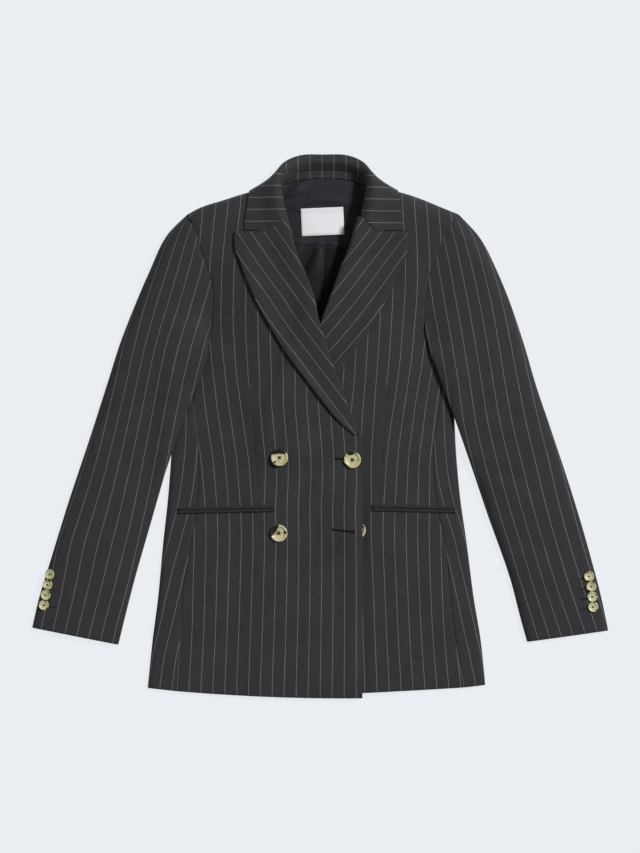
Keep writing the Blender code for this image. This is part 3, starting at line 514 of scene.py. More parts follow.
# ======================== lining and label in the neck
# Purple-grey satin lines the back and shows inside the neck, with a soft pleat down its
# centre. A white woven label, left blank, is sewn on below the neck seam by its two ends.
LINING_WALL = 1.0
LINING_EASE = 1.4           # it lies this loosely on the backs
LINING_DEEPEST = -0.9       # no fold goes deeper, as the backs are there
PLEAT_X, PLEAT_HEIGHT, PLEAT_HALF = 1, 0.8, 5.0
PLEAT_TOP_Y = 262
PLEAT_FADE = 30
WAVE_HEIGHT, WAVE_RUN = 0.35, 11.0
LINING_ROWS = 90
LINING_COLUMNS = 56
LABEL_WALL = 0.8
SEAT = 0.7                  # between a piece and the panel it lies on
LINING_LOW_Y = 128.0
LINING_DROP = 0.8           # its top edge lies this far below the neck seam
# Below this line the satin's colour is darkened as painted shade of the neck's recess.
NECK_PIECE_Y = 251.0        # the neck piece's lower edge, where the body lining starts
SATIN = (0.0150, 0.0125, 0.0175, 1)
SATIN_WARP = (0.0245, 0.0205, 0.0290, 1)
LABEL_X, LABEL_Y = 3.3, 286.8
LABEL_WIDE, LABEL_HIGH = 59.0, 38.0
LABEL_COLUMNS, LABEL_ROWS = 24, 16
LABEL_TURN = radians(2.5)
LABEL_CROWN = 0.5           # it bulges this much between its sewn ends
LABEL_SEAM = (1.6, 1.5)      # in from the label's end, and from its corners
STITCH_SEED = 7
LINING_HALF = table_of("y half", (128, 22), (200, 44), (260, 56), (310, 60), (338, 60))
LINING_FOLDS = table_of(
    CREASE,
    (5, 264.5, 1, 60, 3.2, -1.5), (5, 257.0, -2, 60, 4.0, 1.8), (-20, 236, 58, 22, 8.0, -1.5),
    (-8, 228, 70, 30, 8.0, 1.6), (3, 214, 88, 40, 4.5, -1.4), (13, 216, 82, 44, 7.0, 1.8),
    (26, 240, -60, 24, 7.0, 1.2), (-34, 246, 66, 20, 7.0, 1.1), (-30, 322, 24, 24, 6.0, -0.9),
    (-34, 329, 31, 15, 6.0, 2.8), (-10, 330, 22, 30, 5.0, 1.2), (22, 316, -10, 26, 5.0, 0.9),
    (-6, 310, 3, 46, 3.0, -0.8))
lining_half = curve(LINING_HALF, "y", "half")


def lining_top(x, y):
    """The lining lies on the backs, with its pleat and its soft folds."""
    pleat = PLEAT_HEIGHT * exp(-((x - PLEAT_X) / PLEAT_HALF) ** 2) * ease((PLEAT_TOP_Y - y) / PLEAT_FADE)
    wave = WAVE_HEIGHT * (1 + sin(y / WAVE_RUN))
    folds = max(LINING_DEEPEST, crease_height(LINING_FOLDS, x, y))
    below = back_under(x, y) + WALL + GAP + back_ridges(x, y)
    return below + LINING_WALL + LINING_EASE + pleat + wave + folds


def make_satin():
    """Lining satin: long fine warp floats and a soft shine. Below the neck piece's seam its colour is
    darkened, a painted shade of the deep neck opening.
    """
    material, tree, shader, grain = new_material("lining_satin")
    floats = noise(tree, stretched(tree, grain, 3200.0, 240.0), 1.0, 3.0)
    ground = blended(tree, noise(tree, grain, 34.0, 3.0), SATIN, SATIN_WARP)
    high = add(tree, "ShaderNodeSeparateXYZ", {0: grain}).outputs[1]
    # Below the neck piece's seam the satin is darkened to 0.3 of its colour: painted shade in the neck's
    # recess.
    cloth = ranged(tree, high, 0.3, 1.0, (NECK_PIECE_Y - 1.5) * MM, NECK_PIECE_Y * MM)
    tint = tinted(tree, ground, product(tree, ranged(tree, floats, 0.8, 1.2), cloth))
    fill(tree, shader, {
        "Base Color": tint, "Normal": bumped(tree, 0.3, 0.00012, floats), "Roughness": 0.6,
        "Specular IOR Level": 0.25, "Sheen Weight": 0.03, "Sheen Roughness": 0.3})
    return material


def make_lining():
    rows = []
    for along in steps(0.0, 1.0, LINING_ROWS):
        half = lining_half(mix(LINING_LOW_Y, NECK_Y, along))
        row = []
        for x in steps(CENTRE_BACK_NECK_X - half, CENTRE_BACK_NECK_X + half, LINING_COLUMNS):
            y = mix(LINING_LOW_Y, neck_line(x) - LINING_DROP, along)
            row.append((x, y, lining_top(x, y)))
        rows.append(row)
    grain = [[(x * MM, y * MM) for x, y, z in row] for row in rows]
    make_cloth("back_neck_lining", "back_lining", rows, grain,
               wall=LINING_WALL, material=make_satin())


def label_point(u, v, above):
    x = LABEL_X + u * cos(LABEL_TURN) - v * sin(LABEL_TURN)
    y = LABEL_Y + u * sin(LABEL_TURN) + v * cos(LABEL_TURN)
    return (x, y, lining_top(x, y) + SEAT + LABEL_WALL + above)


def make_label():
    across = steps(-LABEL_WIDE / 2, LABEL_WIDE / 2, LABEL_COLUMNS)
    up = steps(-LABEL_HIGH / 2, LABEL_HIGH / 2, LABEL_ROWS)
    rows = [[label_point(u, v, LABEL_CROWN * (1 - (2 * u / LABEL_WIDE) ** 2)) for u in across] for v in up]
    grain = [[(u * MM, v * MM) for u in across] for v in up]
    material, tree, shader, place = new_material("label_weave")
    threads = noise(tree, stretched(tree, place, 2400.0, 900.0), 1.0, 2.0)
    tint = tinted(tree, (0.90, 0.91, 0.95), ranged(tree, threads, 0.93, 1.03))
    fill(tree, shader, {"Base Color": tint, "Normal": bumped(tree, 0.3, 0.0002, threads), "Roughness": 0.6,
                        "Sheen Weight": 0.15})
    make_cloth("blank_neck_label", "neck_label", rows, grain,
               wall=LABEL_WALL, material=material)


def make_stitch_tree():
    """Stitches along a path: a thread bead at each step, turned to lie along it or across it."""
    tree = bpy.data.node_groups.new("stitch_row", "GeometryNodeTree")
    kinds = {"Geometry": "Geometry", "Thread": "Material"}
    for name in ("Geometry", "Step", "Stitch Length", "Thickness", "Turn", "Unevenness", "Thread"):
        kind = "NodeSocket" + kinds.get(name, "Float")
        tree.interface.new_socket(name, in_out="INPUT", socket_type=kind)
    tree.interface.new_socket("Geometry", in_out="OUTPUT", socket_type="NodeSocketGeometry")
    start = tree.nodes.new("NodeGroupInput").outputs
    path = add(tree, "GeometryNodeMeshToCurve", {"Mesh": start["Geometry"]}).outputs[0]
    spaced = add(tree, "GeometryNodeResampleCurve", {"Curve": path, "Length": start["Step"]}, mode="LENGTH")
    ahead = add(tree, "GeometryNodeInputTangent").outputs[0]
    facing = add(tree, "FunctionNodeAlignRotationToVector", {"Vector": ahead}, axis="X").outputs[0]
    turn = add(tree, "FunctionNodeAxisAngleToRotation", {"Axis": (0, 0, 1), "Angle": start["Turn"]})
    spun = add(tree, "FunctionNodeRotateRotation", {"Rotation": facing, "Rotate By": turn.outputs[0]},
               rotation_space="GLOBAL")
    bead = add(tree, "GeometryNodeMeshUVSphere", {"Segments": 6, "Rings": 4, "Radius": 0.5})
    chance = add(tree, "FunctionNodeRandomValue", {2: -1.0, 3: 1.0, "Seed": STITCH_SEED}, data_type="FLOAT")
    uneven = sums(tree, "ADD", sums(tree, "MULTIPLY", chance.outputs[1], start["Unevenness"]), 1.0)
    length = sums(tree, "MULTIPLY", start["Stitch Length"], uneven)
    size = add(tree, "ShaderNodeCombineXYZ", {0: length, 1: start["Thickness"], 2: start["Thickness"]})
    placed = add(tree, "GeometryNodeInstanceOnPoints", {
        "Points": spaced.outputs[0], "Instance": bead.outputs[0],
        "Rotation": spun.outputs[0], "Scale": size.outputs[0]})
    real = add(tree, "GeometryNodeRealizeInstances", {0: placed.outputs[0]}).outputs[0]
    thread = add(tree, "GeometryNodeSetMaterial", {"Geometry": real, "Material": start["Thread"]})
    tree.links.new(thread.outputs[0], tree.nodes.new("NodeGroupOutput").inputs[0])
    return tree


def make_thread(name, shade):
    """Twisted polyester thread."""
    material, tree, shader, place = new_material(name, "Object")
    ply = noise(tree, place, 5200.0, 2.0)
    fill(tree, shader, {
        "Base Color": tinted(tree, shade, ranged(tree, ply, 0.7, 1.3)),
        "Normal": bumped(tree, 0.4, 0.0001, ply), "Roughness": 0.6, "Specular IOR Level": 0.12})
    return material


stitch_row = make_stitch_tree()
white_thread = make_thread("white_thread", (0.74, 0.75, 0.76))
# The dark thread also makes the row of beads that paints the shade in a buttonhole's slit.
dark_thread = make_thread("dark_thread", (0.009, 0.0085, 0.009))


def sew(name, path, step, length, thickness, thread=dark_thread, turn=90, uneven=0.1):
    """A row of stitches along a path of points in mm, made a plain mesh."""
    points = [[value * MM for value in point] for point in path]
    edges = [(i, i + 1) for i in range(len(path) - 1)]
    guide = new_object(name + "_path", new_mesh(name + "_path", points, [], edges))
    rule = guide.modifiers.new("stitches", "NODES")
    rule.node_group = stitch_row
    values = {"Step": step * MM, "Stitch Length": length * MM, "Thickness": thickness * MM,
              "Turn": radians(turn), "Unevenness": uneven, "Thread": thread}
    for item in stitch_row.interface.items_tree:
        if item.name in values:
            rule[item.identifier] = values[item.name]
    mesh = bpy.data.meshes.new_from_object(guide.evaluated_get(bpy.context.evaluated_depsgraph_get()))
    guide.modifiers.clear()
    bpy.data.objects.remove(guide)
    mesh.shade_smooth()
    piece = new_object(name, mesh)
    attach(piece, "root")


make_lining()
make_label()
for end, sign in (("right", -1), ("left", 1)):
    seam = [label_point(sign * (LABEL_WIDE / 2 - LABEL_SEAM[0]), v, 0.35)
            for v in steps(-LABEL_HIGH / 2 + LABEL_SEAM[1], LABEL_HIGH / 2 - LABEL_SEAM[1], 14)]
    sew(f"label_stitches_{end}", seam, 1.9, 1.5, 0.35, thread=white_thread, turn=0)

# ======================== side panels
# A side panel of the same suiting wraps each side fold, from the front's side seam round
# to the back. Its pinstripes lean away from the front's, so they meet the seam at a slant.
SIDE_MIDDLE = 4.2           # height of the outermost line of a side fold
SIDE_TOP_ROUND = 9.0
SIDE_UNDER_ROUND = 5.0
SIDE_FLAT_END = 12          # last column of a side panel's flat part
HEM_RISE = 4.5              # the hem rises towards the side fold
HEM_RISE_RUN = 40           # by so much for each length of this
HEM_RISE_SHARE = 0.4        # in this lower share of the panel
SEAM_DEPTH = 0.9            # a pressed seam lies this much lower than the cloth beside it
SEAM_HALF = 1.5
ARMPIT = 0.7585             # the side panels reach up to this share of the front
ARMPIT_ALLOWANCE = 21.0
ARMPIT_SINK = 0.5
CREASE_FADE = 30            # the creases run out towards the shoulder over this
FINER = (0.8, 1.8, 3.2)     # extra columns this near a seam
ROWS_BELOW = 66
ROWS_TO_ARMPIT = 26
ROWS_ABOVE = 30
RIGHT.hem, LEFT.hem = (-371, -381), (-366, -379)                # at the side and at the front edge
RIGHT.dense, LEFT.dense = (0.5256, 0.5295), (0.5460, 0.5500)    # close rows by the lapel's end
STRIPES = "y x pitch"
RIGHT_SIDE_STRIPES = table_of(
    STRIPES,
    (15.5, -171, 16.8), (-26.5, -172, 16.8), (-68.5, -176, 17.1), (-110.5, -182.5, 16.9),
    (-152.5, -193.5, 16.8), (-194.5, -205, 17.1), (-236.5, -215.5, 17.5), (-278.5, -224.5, 16.8),
    (-320.5, -235, 16.9), (-362.5, -241.5, 16.9))
LEFT_SIDE_STRIPES = table_of(
    STRIPES,
    (15.5, 158.5, 14.8), (-26.5, 160.5, 14.4), (-68.5, 164.5, 14.7), (-110.5, 173.5, 14.6),
    (-152.5, 186.5, 15.1), (-194.5, 196.5, 15.0), (-236.5, 206.5, 15.5), (-278.5, 216, 16.1),
    (-320.5, 226, 16.7), (-362.5, 234.5, 16.5))
FRONT_CREASES = table_of(
    CREASE,
    (-132, 118, -52, 46, 9, -0.8), (-148, 96, -40, 34, 8, 0.7), (-118, 66, -64, 52, 10, 0.6),
    (-150, 20, 12, 30, 8, -0.6), (-176, -8, -18, 26, 7, 0.6), (-70, -8, -78, 50, 10, 0.7),
    (-20, -62, 84, 60, 12, -0.6), (12, -100, -86, 70, 13, 0.6), (-128, -66, 70, 40, 11, -0.6),
    (-42, -104, 4, 44, 9, -0.5), (-140, -190, 82, 70, 14, 0.7), (-60, -240, -84, 90, 15, 0.6),
    (30, -290, 86, 70, 13, -0.6), (-190, -260, 76, 60, 12, -0.6), (-215, -150, 70, 50, 8, 0.6),
    (-100, -330, 80, 50, 12, -0.7), (128, 120, 54, 44, 9, -0.8), (148, 84, 42, 34, 8, 0.8),
    (112, 60, 66, 50, 10, 0.6), (150, 0, -14, 30, 8, -0.7), (96, -30, 78, 48, 11, 0.6),
    (132, -70, -72, 42, 10, -0.6), (178, -40, 8, 18, 6, 0.6), (110, -180, 84, 60, 13, 0.7),
    (84, -260, -86, 80, 10, -0.6), (160, -240, -78, 70, 14, 0.7), (196, -200, -72, 50, 8, -0.6),
    (150, -330, 84, 50, 12, -0.6), (-140, 240, 62, 40, 11, -0.8), (-120, 190, 84, 50, 12, 0.6),
    (142, 236, -60, 40, 11, -0.8), (128, 190, -82, 50, 11, 0.6), (-88, 150, -70, 46, 9, 0.5),
    (62, 96, 60, 40, 9, -0.6), (59, -150, 90.5, 110, 8.5, -2.6), (59, -330, 89, 60, 8, -1.6))


def under_top(x, y):
    """Top of the front layer that lies on the back."""
    right_x, left_x, edge, middle = height_row(y)
    across = min(max((x - right_x) / (left_x - right_x), 0.0), 1.0)
    height = edge + (middle - edge) * (1 - abs(2 * across - 1) ** 2.6)
    depth = shoulder_depth(x, y)
    if depth < SHOULDER_TOP_ROUND:
        height = mix(SHOULDER_MIDDLE + SHOULDER_SEAM / 2, height, quarter(depth / SHOULDER_TOP_ROUND))
    return height


def creased_top(x, y):
    return under_top(x, y) + crease_height(FRONT_CREASES, x, y) * ease(shoulder_depth(x, y) / CREASE_FADE)


def seam_ditch(distance):
    """The cloth turns down into a seam."""
    return -SEAM_DEPTH * exp(-(distance / SEAM_HALF) ** 2)


def stripe_lines(table):
    """The stripe's number at a point, from the place of one stripe and the pitch at each height."""
    line = curve(table, "y", "x", "pitch")

    def at(x, y):
        x0, pitch = line(y)
        return (x - x0) / pitch

    return at


def carry_on(row, numbers, first, last):
    """Past the flat part of a section the stripes keep their true pitch round the fold."""
    numbers = list(numbers)
    sign = 1 if numbers[last] > numbers[first] else -1
    for k in range(last + 1, len(row)):
        numbers[k] = numbers[k - 1] + sign * dist(row[k], row[k - 1]) / STRIPE_PITCH
    for k in range(first - 1, -1, -1):
        numbers[k] = numbers[k + 1] - sign * dist(row[k], row[k + 1]) / STRIPE_PITCH
    return numbers


def on_cloth(number):
    """Distance across the grain of a stripe's number."""
    return number * STRIPE_PITCH * MM


def front_stops(side):
    to_armpit = steps(0.0, side.dense[0], ROWS_BELOW) + steps(side.dense[1], ARMPIT, ROWS_TO_ARMPIT)
    return to_armpit + [mix(ARMPIT, 1.0, t ** 1.25) for t in steps(0.0, 1.0, ROWS_ABOVE)[1:]]


def side_row_y(side, along, angle=0.0):
    return row_end(side.hem[0], SHOULDER_TIP_Y, SHOULDER_TOP_ROUND, along, angle)


def side_section(side, y):
    """From the front seam over the side fold to the back seam, at one height."""
    section = []
    seam_x, edge_x = side.seam(y), side.edge(y)
    crest_x = edge_x + side.inward * SIDE_TOP_ROUND
    flat = abs(crest_x - seam_x)
    for t in [0.0] + [near / flat for near in FINER] + steps(5.0 / flat, 1.0, 8):
        x = mix(seam_x, crest_x, t)
        section.append((x, y, creased_top(x, y) + seam_ditch(flat * t)))
    crest = section[-1][2]
    for angle in range(80, -1, -10):
        x = edge_x + side.inward * SIDE_TOP_ROUND * (1 - cos(radians(angle)))
        section.append((x, y, mix(SIDE_MIDDLE, crest, sin(radians(angle)))))
    for angle in (22, 45, 67, 90):
        x = edge_x + side.inward * SIDE_UNDER_ROUND * (1 - cos(radians(angle)))
        section.append((x, y, SIDE_MIDDLE * (1 - sin(radians(angle)))))
    for t in (0.3, 0.7, 1.0):
        x = mix(edge_x + side.inward * SIDE_UNDER_ROUND, back_seam(side, y) - side.inward * 0.1, t)
        section.append((x, y, 0.0))
    return section


def make_side_panel(side, stripes):
    """It shares the front's rows as far as the armpit, where its allowance turns in under the sleeve."""
    rows, grain = [], []
    numbers_at = stripe_lines(stripes)
    for along in front_stops(side)[:-ROWS_ABOVE]:
        level = side_row_y(side, along)
        rise = HEM_RISE * max(0.0, 1 - along / HEM_RISE_SHARE) ** 3
        row = [(x, y + rise * max(0.0, (side.seam(y) - x) * side.inward) / HEM_RISE_RUN, z)
               for x, y, z in side_section(side, level)]
        numbers = carry_on(row, [numbers_at(x, y) for x, y, z in row], 0, SIDE_FLAT_END)
        rows.append(row)
        grain.append([(on_cloth(number), y * MM) for number, (x, y, z) in zip(numbers, row)])
    level += ARMPIT_ALLOWANCE
    stop_x = side.seam(level)
    side.panel = rows + [[(x if (stop_x - x) * side.inward > 0 else stop_x, y, ARMPIT_SINK * z)
                          for x, y, z in side_section(side, level)]]
    grain.append([(on_cloth(number), level * MM) for number in numbers])
    make_cloth(f"side_{side.name}_panel", f"side_{side.name}", side.panel, grain,
               flip=(side.inward > 0), seams="lrt")


RIGHT.panel_area, LEFT.panel_area = 0.0390, 0.0330
make_side_panel(RIGHT, RIGHT_SIDE_STRIPES)
make_side_panel(LEFT, LEFT_SIDE_STRIPES)

# ======================== fronts
# The wearer's right front laps over the left one. Each has a long dart from under the bust
# to the pocket that takes up one stripe, and is joined to side panel and sleeve.
EDGE_TOP = 334.0            # the shoulder's end at the neck
OVERLAP_LIFT = 2.2          # the upper front is lifted so by the under front
OVERLAP_RAMP = (-52, 34)    # start beside the under front's edge, and width
OVERLAP_TOP = (290, 60)     # y where it ends, and the length over which it does
LAPEL_LIFT = 4.2            # by the under lapel
LAPEL_RAMP = (44, 28)
LAPEL_LOW = (-66, 36)
LAPEL_TOP = (215, 40)
BUTTON_LIFT = 7.0           # and by the covered button
BUTTON_SPREAD = 36.0
BUTTON_SQUEEZE = 0.8
COLUMNS_TO_DART = 22
COLUMNS_TO_EDGE = 40
DART_DEPTH = 0.5
LAPEL_START = 1.5           # a lapel starts this far inside the middle of its roll
ROLL_EASE = 1.6
BEHIND_ROLL = 1.12          # the front stops this much further in behind its lapel's roll
NECK_LOW_Y = 288            # above this the front ends at the neck's seam
ROLL_TOP_Y = 285            # and above this the upper one isn't set back
ABOVE_DART = 420            # the dart's line leans on above it by its own lean over this length
LAPEL = "roll_x roll_y edge_x edge_y roll"
UPPER_LAPEL = table_of(
    LAPEL,
    (-45, 292, -119, 271, 9.0), (-39, 268, -119, 252, 8.5), (-31, 238, -111, 229, 8.0),
    (-18.5, 210, -99, 198, 7.0), (-8, 181, -84, 165, 6.0), (-1, 146, -64, 130, 5.0), (9, 116, -44, 98, 4.5),
    (20, 82, -20, 66, 4.0), (30, 54, 2, 37, 3.6), (42, 22, 24, 10, 3.2), (56.5, -9, 48, -12, 2.8))
UNDER_LAPEL = table_of(
    LAPEL,
    (52, 292, 120, 271, 9.0), (46, 271, 123, 261, 9.0), (39, 249, 119, 238, 8.5), (29, 225, 110, 214, 7.5),
    (19, 197, 96, 185, 6.0), (9, 170, 80, 155, 4.0), (0, 145, 63, 126, 2.8), (-12, 115, 43, 100, 2.8),
    (-28, 75, 14, 62, 2.8), (-45, 35, -20, 25, 2.8), (-57, 7, -44, 2, 2.8))
FRONT_BUTTONS = table_of("x y", (-57, -44), (45, -47), (-58, -150), (52, -145.5))
HIDDEN_BUTTON = 3
FRONT_STRIPES = "y outer_x outer_pitch inner_x inner_pitch"
RIGHT_FRONT_STRIPES = table_of(
    FRONT_STRIPES,
    (309.5, -128.5, 17.4, -76.5, 17.4), (267.5, -133, 17.1, -82, 17.1), (225.5, -137, 17.1, -86, 17.1),
    (183.5, -138.5, 17.1, -87, 17.1), (141.5, -139, 17.2, -87, 17.1), (99.5, -136, 16.7, -86, 16.8),
    (57.5, -131.5, 16.4, -84.5, 16.5), (36.5, -129, 16.6, -84.5, 16.4), (-5.5, -123, 16.7, -81, 16.2),
    (-47.5, -117, 16.7, -77, 16.0), (-89.5, -113.5, 16.5, -77.5, 16.0), (-110.5, -112, 16.5, -78.5, 16.0),
    (-152.5, -110.5, 16.5, -78, 16.0), (-215.5, -112, 16.5, -79, 16.2), (-299.5, -114.5, 16.4, -81.5, 16.5),
    (-362.5, -117, 16.7, -84, 16.8))
LEFT_FRONT_STRIPES = table_of(
    FRONT_STRIPES,
    (309.5, 115, 16.8, 81.5, 16.8), (267.5, 117.5, 16.9, 83.5, 16.9), (225.5, 119, 17.1, 84.5, 16.9),
    (183.5, 118.5, 16.9, 84.5, 16.8), (141.5, 115.5, 16.7, 83.5, 16.1), (99.5, 112.5, 15.9, 81, 15.7),
    (57.5, 107.5, 15.1, 78, 15.4), (36.5, 104.5, 14.9, 76.5, 15.8), (-5.5, 98, 15.3, 74, 16.0),
    (-47.5, 93, 15.3, 71.5, 16.1), (-89.5, 90.5, 15.7, 71.5, 16.2), (-110.5, 89, 16.0, 71.5, 16.2),
    (-152.5, 88, 16.2, 71.5, 16.2), (-215.5, 90, 16.1, 74, 16.4), (-299.5, 93.5, 16.2, 77, 16.7),
    (-362.5, 96.5, 16.7, 79.5, 17.1))
RIGHT.lapel, LEFT.lapel = UPPER_LAPEL, UNDER_LAPEL
RIGHT.dart, LEFT.dart = table_of("top_x top_y low_x low_y", (-98.5, 58.0, -86.0, -116.5),
                                 (93.0, 58.0, 80.5, -115.5))
RIGHT.edge_x, LEFT.edge_x = 58.5, -68.0         # free edges of the upper and the under front
RIGHT.break_y, LEFT.break_y = -14, 1            # where the lapels end
RIGHT.hem_bow, LEFT.hem_bow = -3.0, -1.0
RIGHT.stripes_between, LEFT.stripes_between = 3, -2     # from the outer stripe to the inner one
NECK_EDGES = table_of("y right left", (286, -56.5, 67.5), (300, -61, 71.5), (318, -66, 76), (340, -66, 76))
for side in (RIGHT, LEFT):
    side.roll = curve(side.lapel, "roll_y", "roll_x", "roll")
    side.neck = curve(NECK_EDGES, "y", side.name)
under_lapel_edge = curve(UNDER_LAPEL[1:], "edge_y", "edge_x")


def upper_top(x, y):
    """Top of the upper front: raised where the under front, its lapel or a button lies below."""
    over_front = ramp(x - LEFT.edge_x, *OVERLAP_RAMP) * ramp(-y, -OVERLAP_TOP[0], OVERLAP_TOP[1])
    beside, width = LAPEL_RAMP
    over_lapel = ramp(x - LEFT.roll(y)[0], -beside, width) * ramp(under_lapel_edge(y) - x, -beside, width)
    over_lapel *= ramp(y, *LAPEL_LOW) * ramp(-y, -LAPEL_TOP[0], LAPEL_TOP[1])
    hidden = FRONT_BUTTONS[HIDDEN_BUTTON]
    distance = hypot(x - hidden.x, (y - hidden.y) * BUTTON_SQUEEZE)
    over_button = BUTTON_LIFT * exp(-(distance / BUTTON_SPREAD) ** 2)
    return creased_top(x, y) + OVERLAP_LIFT * over_front + LAPEL_LIFT * over_lapel + over_button


RIGHT.top, LEFT.top = upper_top, creased_top


def roll_inset(roll):
    """The front stops this far inside the fold of its lapel."""
    return TURNED_WALL / 2 + roll / 2 + LAPEL_START + GAP + ROLL_EASE


def front_edge(side, y):
    if y < side.break_y:
        return side.edge_x
    x, roll = side.roll(y)
    return x - side.inward * roll_inset(roll) * (1.0 if side is RIGHT and y >= ROLL_TOP_Y else BEHIND_ROLL)


def dart_x(dart, y):
    """The dart's line, drawn on to the shoulder above it and straight down below it."""
    below = min((dart.top_y - y) / (dart.top_y - dart.low_y), 1.0)
    return mix(dart.top_x, dart.low_x, below if y < dart.top_y else (dart.top_y - y) / ABOVE_DART)


def front_numbers(side, line, x, y):
    """Numbers of the stripes at a point, for the cloth on the dart's outer and on its inner side."""
    outer_x, outer_pitch, inner_x, inner_pitch = line(y)
    outer = (x - outer_x) / outer_pitch
    inner = (x - inner_x) / inner_pitch + side.stripes_between
    if y <= side.dart.top_y:
        return outer, inner
    if (x - outer_x) * side.inward < 0:
        return outer, outer
    if (x - inner_x) * side.inward < 0:
        between = (x - outer_x) / ((inner_x - outer_x) / side.stripes_between)
        return between, between
    return inner, inner


def make_front(side, stripes):
    """Sections from hem to shoulder, each from the side seam or armhole by way of the dart to
    the front edge."""
    rows, maps = [], ([], [])
    dart = side.dart
    line = curve(stripes, "y", "outer_x", "outer_pitch", "inner_x", "inner_pitch")
    for along, angle in over_shoulder(front_stops(side)):
        side_y = side_row_y(side, along, angle)
        edge_y = row_end(side.hem[1], EDGE_TOP, SHOULDER_TOP_ROUND, along, angle)
        left = side.seam(side_y)
        right = front_edge(side, edge_y) if edge_y < NECK_LOW_Y else side.neck(edge_y)
        middle = dart_x(dart, (side_y + edge_y) / 2)
        xs = [mix(left, middle, t) for t in near_edges(COLUMNS_TO_DART, abs(middle - left), *FINER)]
        xs += [mix(middle, right, t) for t in near_edges(COLUMNS_TO_EDGE, abs(right - middle), *FINER)[1:]]
        row = []
        for x in xs:
            across = (x - left) / (right - left)
            y = mix(side_y, edge_y, across) + side.hem_bow * 4 * across * (1 - across) * (1 - along) ** 4
            y += (side.shoulder(x) - mix(side.shoulder(left), side.shoulder(right), across)) * along ** 6
            open_dart = ease((dart.top_y - y) / 50) * ease((y - dart.low_y + 4) / 8)
            ditch = DART_DEPTH * open_dart * exp(-((x - middle) / SEAM_HALF) ** 2)
            row.append((x, y, side.top(x, y) + seam_ditch(abs(x - left)) - ditch))
        rows.append(row)
        numbers = [front_numbers(side, line, x, y) for x, y, z in row]
        for k in (0, 1):
            maps[k].append([(on_cloth(pair[k]), y * MM) for pair, (x, y, z) in zip(numbers, row)])
    side.front = rows
    split = len(near_edges(COLUMNS_TO_DART, 80.0, *FINER)) - 1
    make_cloth(f"front_{side.name}_panel", f"front_{side.name}", rows, maps,
               flip=(side.inward < 0), seams="lt", split=split)


make_front(RIGHT, RIGHT_FRONT_STRIPES)
make_front(LEFT, LEFT_FRONT_STRIPES)


def height_over(*panels):
    """Height of lofted panels at a point, looked up straight down, or None beside them."""
    points, faces = [], []
    for rows in panels:
        base, wide = len(points), len(rows[0])
        points += [Vector(point) for row in rows for point in row]
        for i in range(len(rows) - 1):
            for a in range(base + i * wide, base + (i + 1) * wide - 1):
                faces.append((a, a + 1, a + wide + 1, a + wide))
    tree = BVHTree.FromPolygons(points, faces)

    def at(x, y):
        hit = tree.ray_cast(Vector((x, y, 500.0)), Vector((0, 0, -1)))[0]
        return None if hit is None else hit.z

    return at


for side in (RIGHT, LEFT):
    side.over_front = height_over(side.front)
    side.over_trunk = height_over(side.front, side.panel)

# ======================== pocket jets
# Each hip pocket is a slit between two narrow jets, strips of plain suiting folded double
# and sewn on, with a short bar of dark stitches across either end.
JET_HEIGHT = 4.4
JET_WALL = 1.2
JET_SWELL = 1.4
JET_COLUMNS, JET_ROWS = 60, 8
BAR_HALF = 4.2
POCKETS = table_of(
    "side outer_x outer_y inner_x inner_y long area",
    (RIGHT, -199, -118.5, -65, -115.5, 0.134, 0.00070), (LEFT, 189, -117.5, 73, -114.5, 0.116, 0.00061))


def pocket_point(pocket, t, off, above):
    x = mix(pocket.outer_x, pocket.inner_x, t)
    y = mix(pocket.outer_y, pocket.inner_y, t) + off
    return x, y, pocket.side.over_trunk(x, y) + above


def make_pocket(pocket):
    side = pocket.side.name
    for name, centre in (("upper", 1), ("lower", -1)):
        rows = []
        for v in steps(-0.5, 0.5, JET_ROWS):
            off = centre * (JET_HEIGHT + GAP) / 2 + v * JET_HEIGHT
            swell = 0.2 + JET_WALL + JET_SWELL * cos(pi * v)
            rows.append([pocket_point(pocket, t, off, swell + 0.12 * sin(t * 37 + centre))
                         for t in steps(0.0, 1.0, JET_COLUMNS)])
        grain = [[(y * MM, x * MM) for x, y, z in row] for row in rows]
        make_cloth(f"jet_{name}_{side}_strip", f"jet_{name}_{side}", rows, grain,
                   wall=JET_WALL,
                   material=plain_suiting, flip=(side == "left"))
    for end, t in (("outer", 0.012), ("inner", 0.988)):
        bar = [pocket_point(pocket, t, off, 2.2) for off in steps(-BAR_HALF, BAR_HALF, 8)]
        sew(f"pocket_bar_{side}_{end}", bar, 0.55, 1.6, 0.5)


for pocket in POCKETS:
    make_pocket(pocket)

# ======================== lapels
# The peaked lapels are the fronts' facings turned over the roll line: a soft roll, then
# cloth lying flat on the front, with its stripes slanting down to the buttons.
LAPEL_SEAT = 0.9
LAPEL_ROWS = 110
LAPEL_COLUMNS = 26
ROLL_RUNOUT = 32.0          # the roll runs out over this width
LAPEL_LENGTH = 340
LAPEL_FLAT_START = 14       # first column of a lapel's flat part
GORGE_DROP = 12.0           # the gorge seam sags this far below a straight line to the peak
GORGE_START = 0.12
GORGE_PLACE = 0.42
GORGE_LIFT = 0.9            # and its top end rises to meet the collar's
EDGE_LIFT = 2.4             # the outer edge stands off the front by this
UPPER_LAPEL_STRIPES = table_of(
    STRIPES,
    (292, -129.5, 18.6), (266, -112.5, 19.0), (225.5, -85.5, 19.6), (183.5, -55, 19.6),
    (141.5, -26.5, 19.9), (99.5, 5.5, 19.9), (57.5, 37.5, 19.9), (15.5, 69.5, 19.9), (-14, 91.5, 19.9))
UNDER_LAPEL_STRIPES = table_of(
    STRIPES,
    (292, 138, 18.8), (264.5, 118, 18.8), (225.5, 88, 19.2), (183.5, 57, 20.4), (141.5, 23, 21.6),
    (99.5, -13, 21.6), (0, -97, 21.6))


def gorge_sag(share):
    """How far the gorge seam hangs below the straight line from the roll to the peak."""
    tent = min((share - GORGE_START) / (GORGE_PLACE - GORGE_START), (1 - share) / (1 - GORGE_PLACE))
    return GORGE_DROP * max(tent, 0.0)


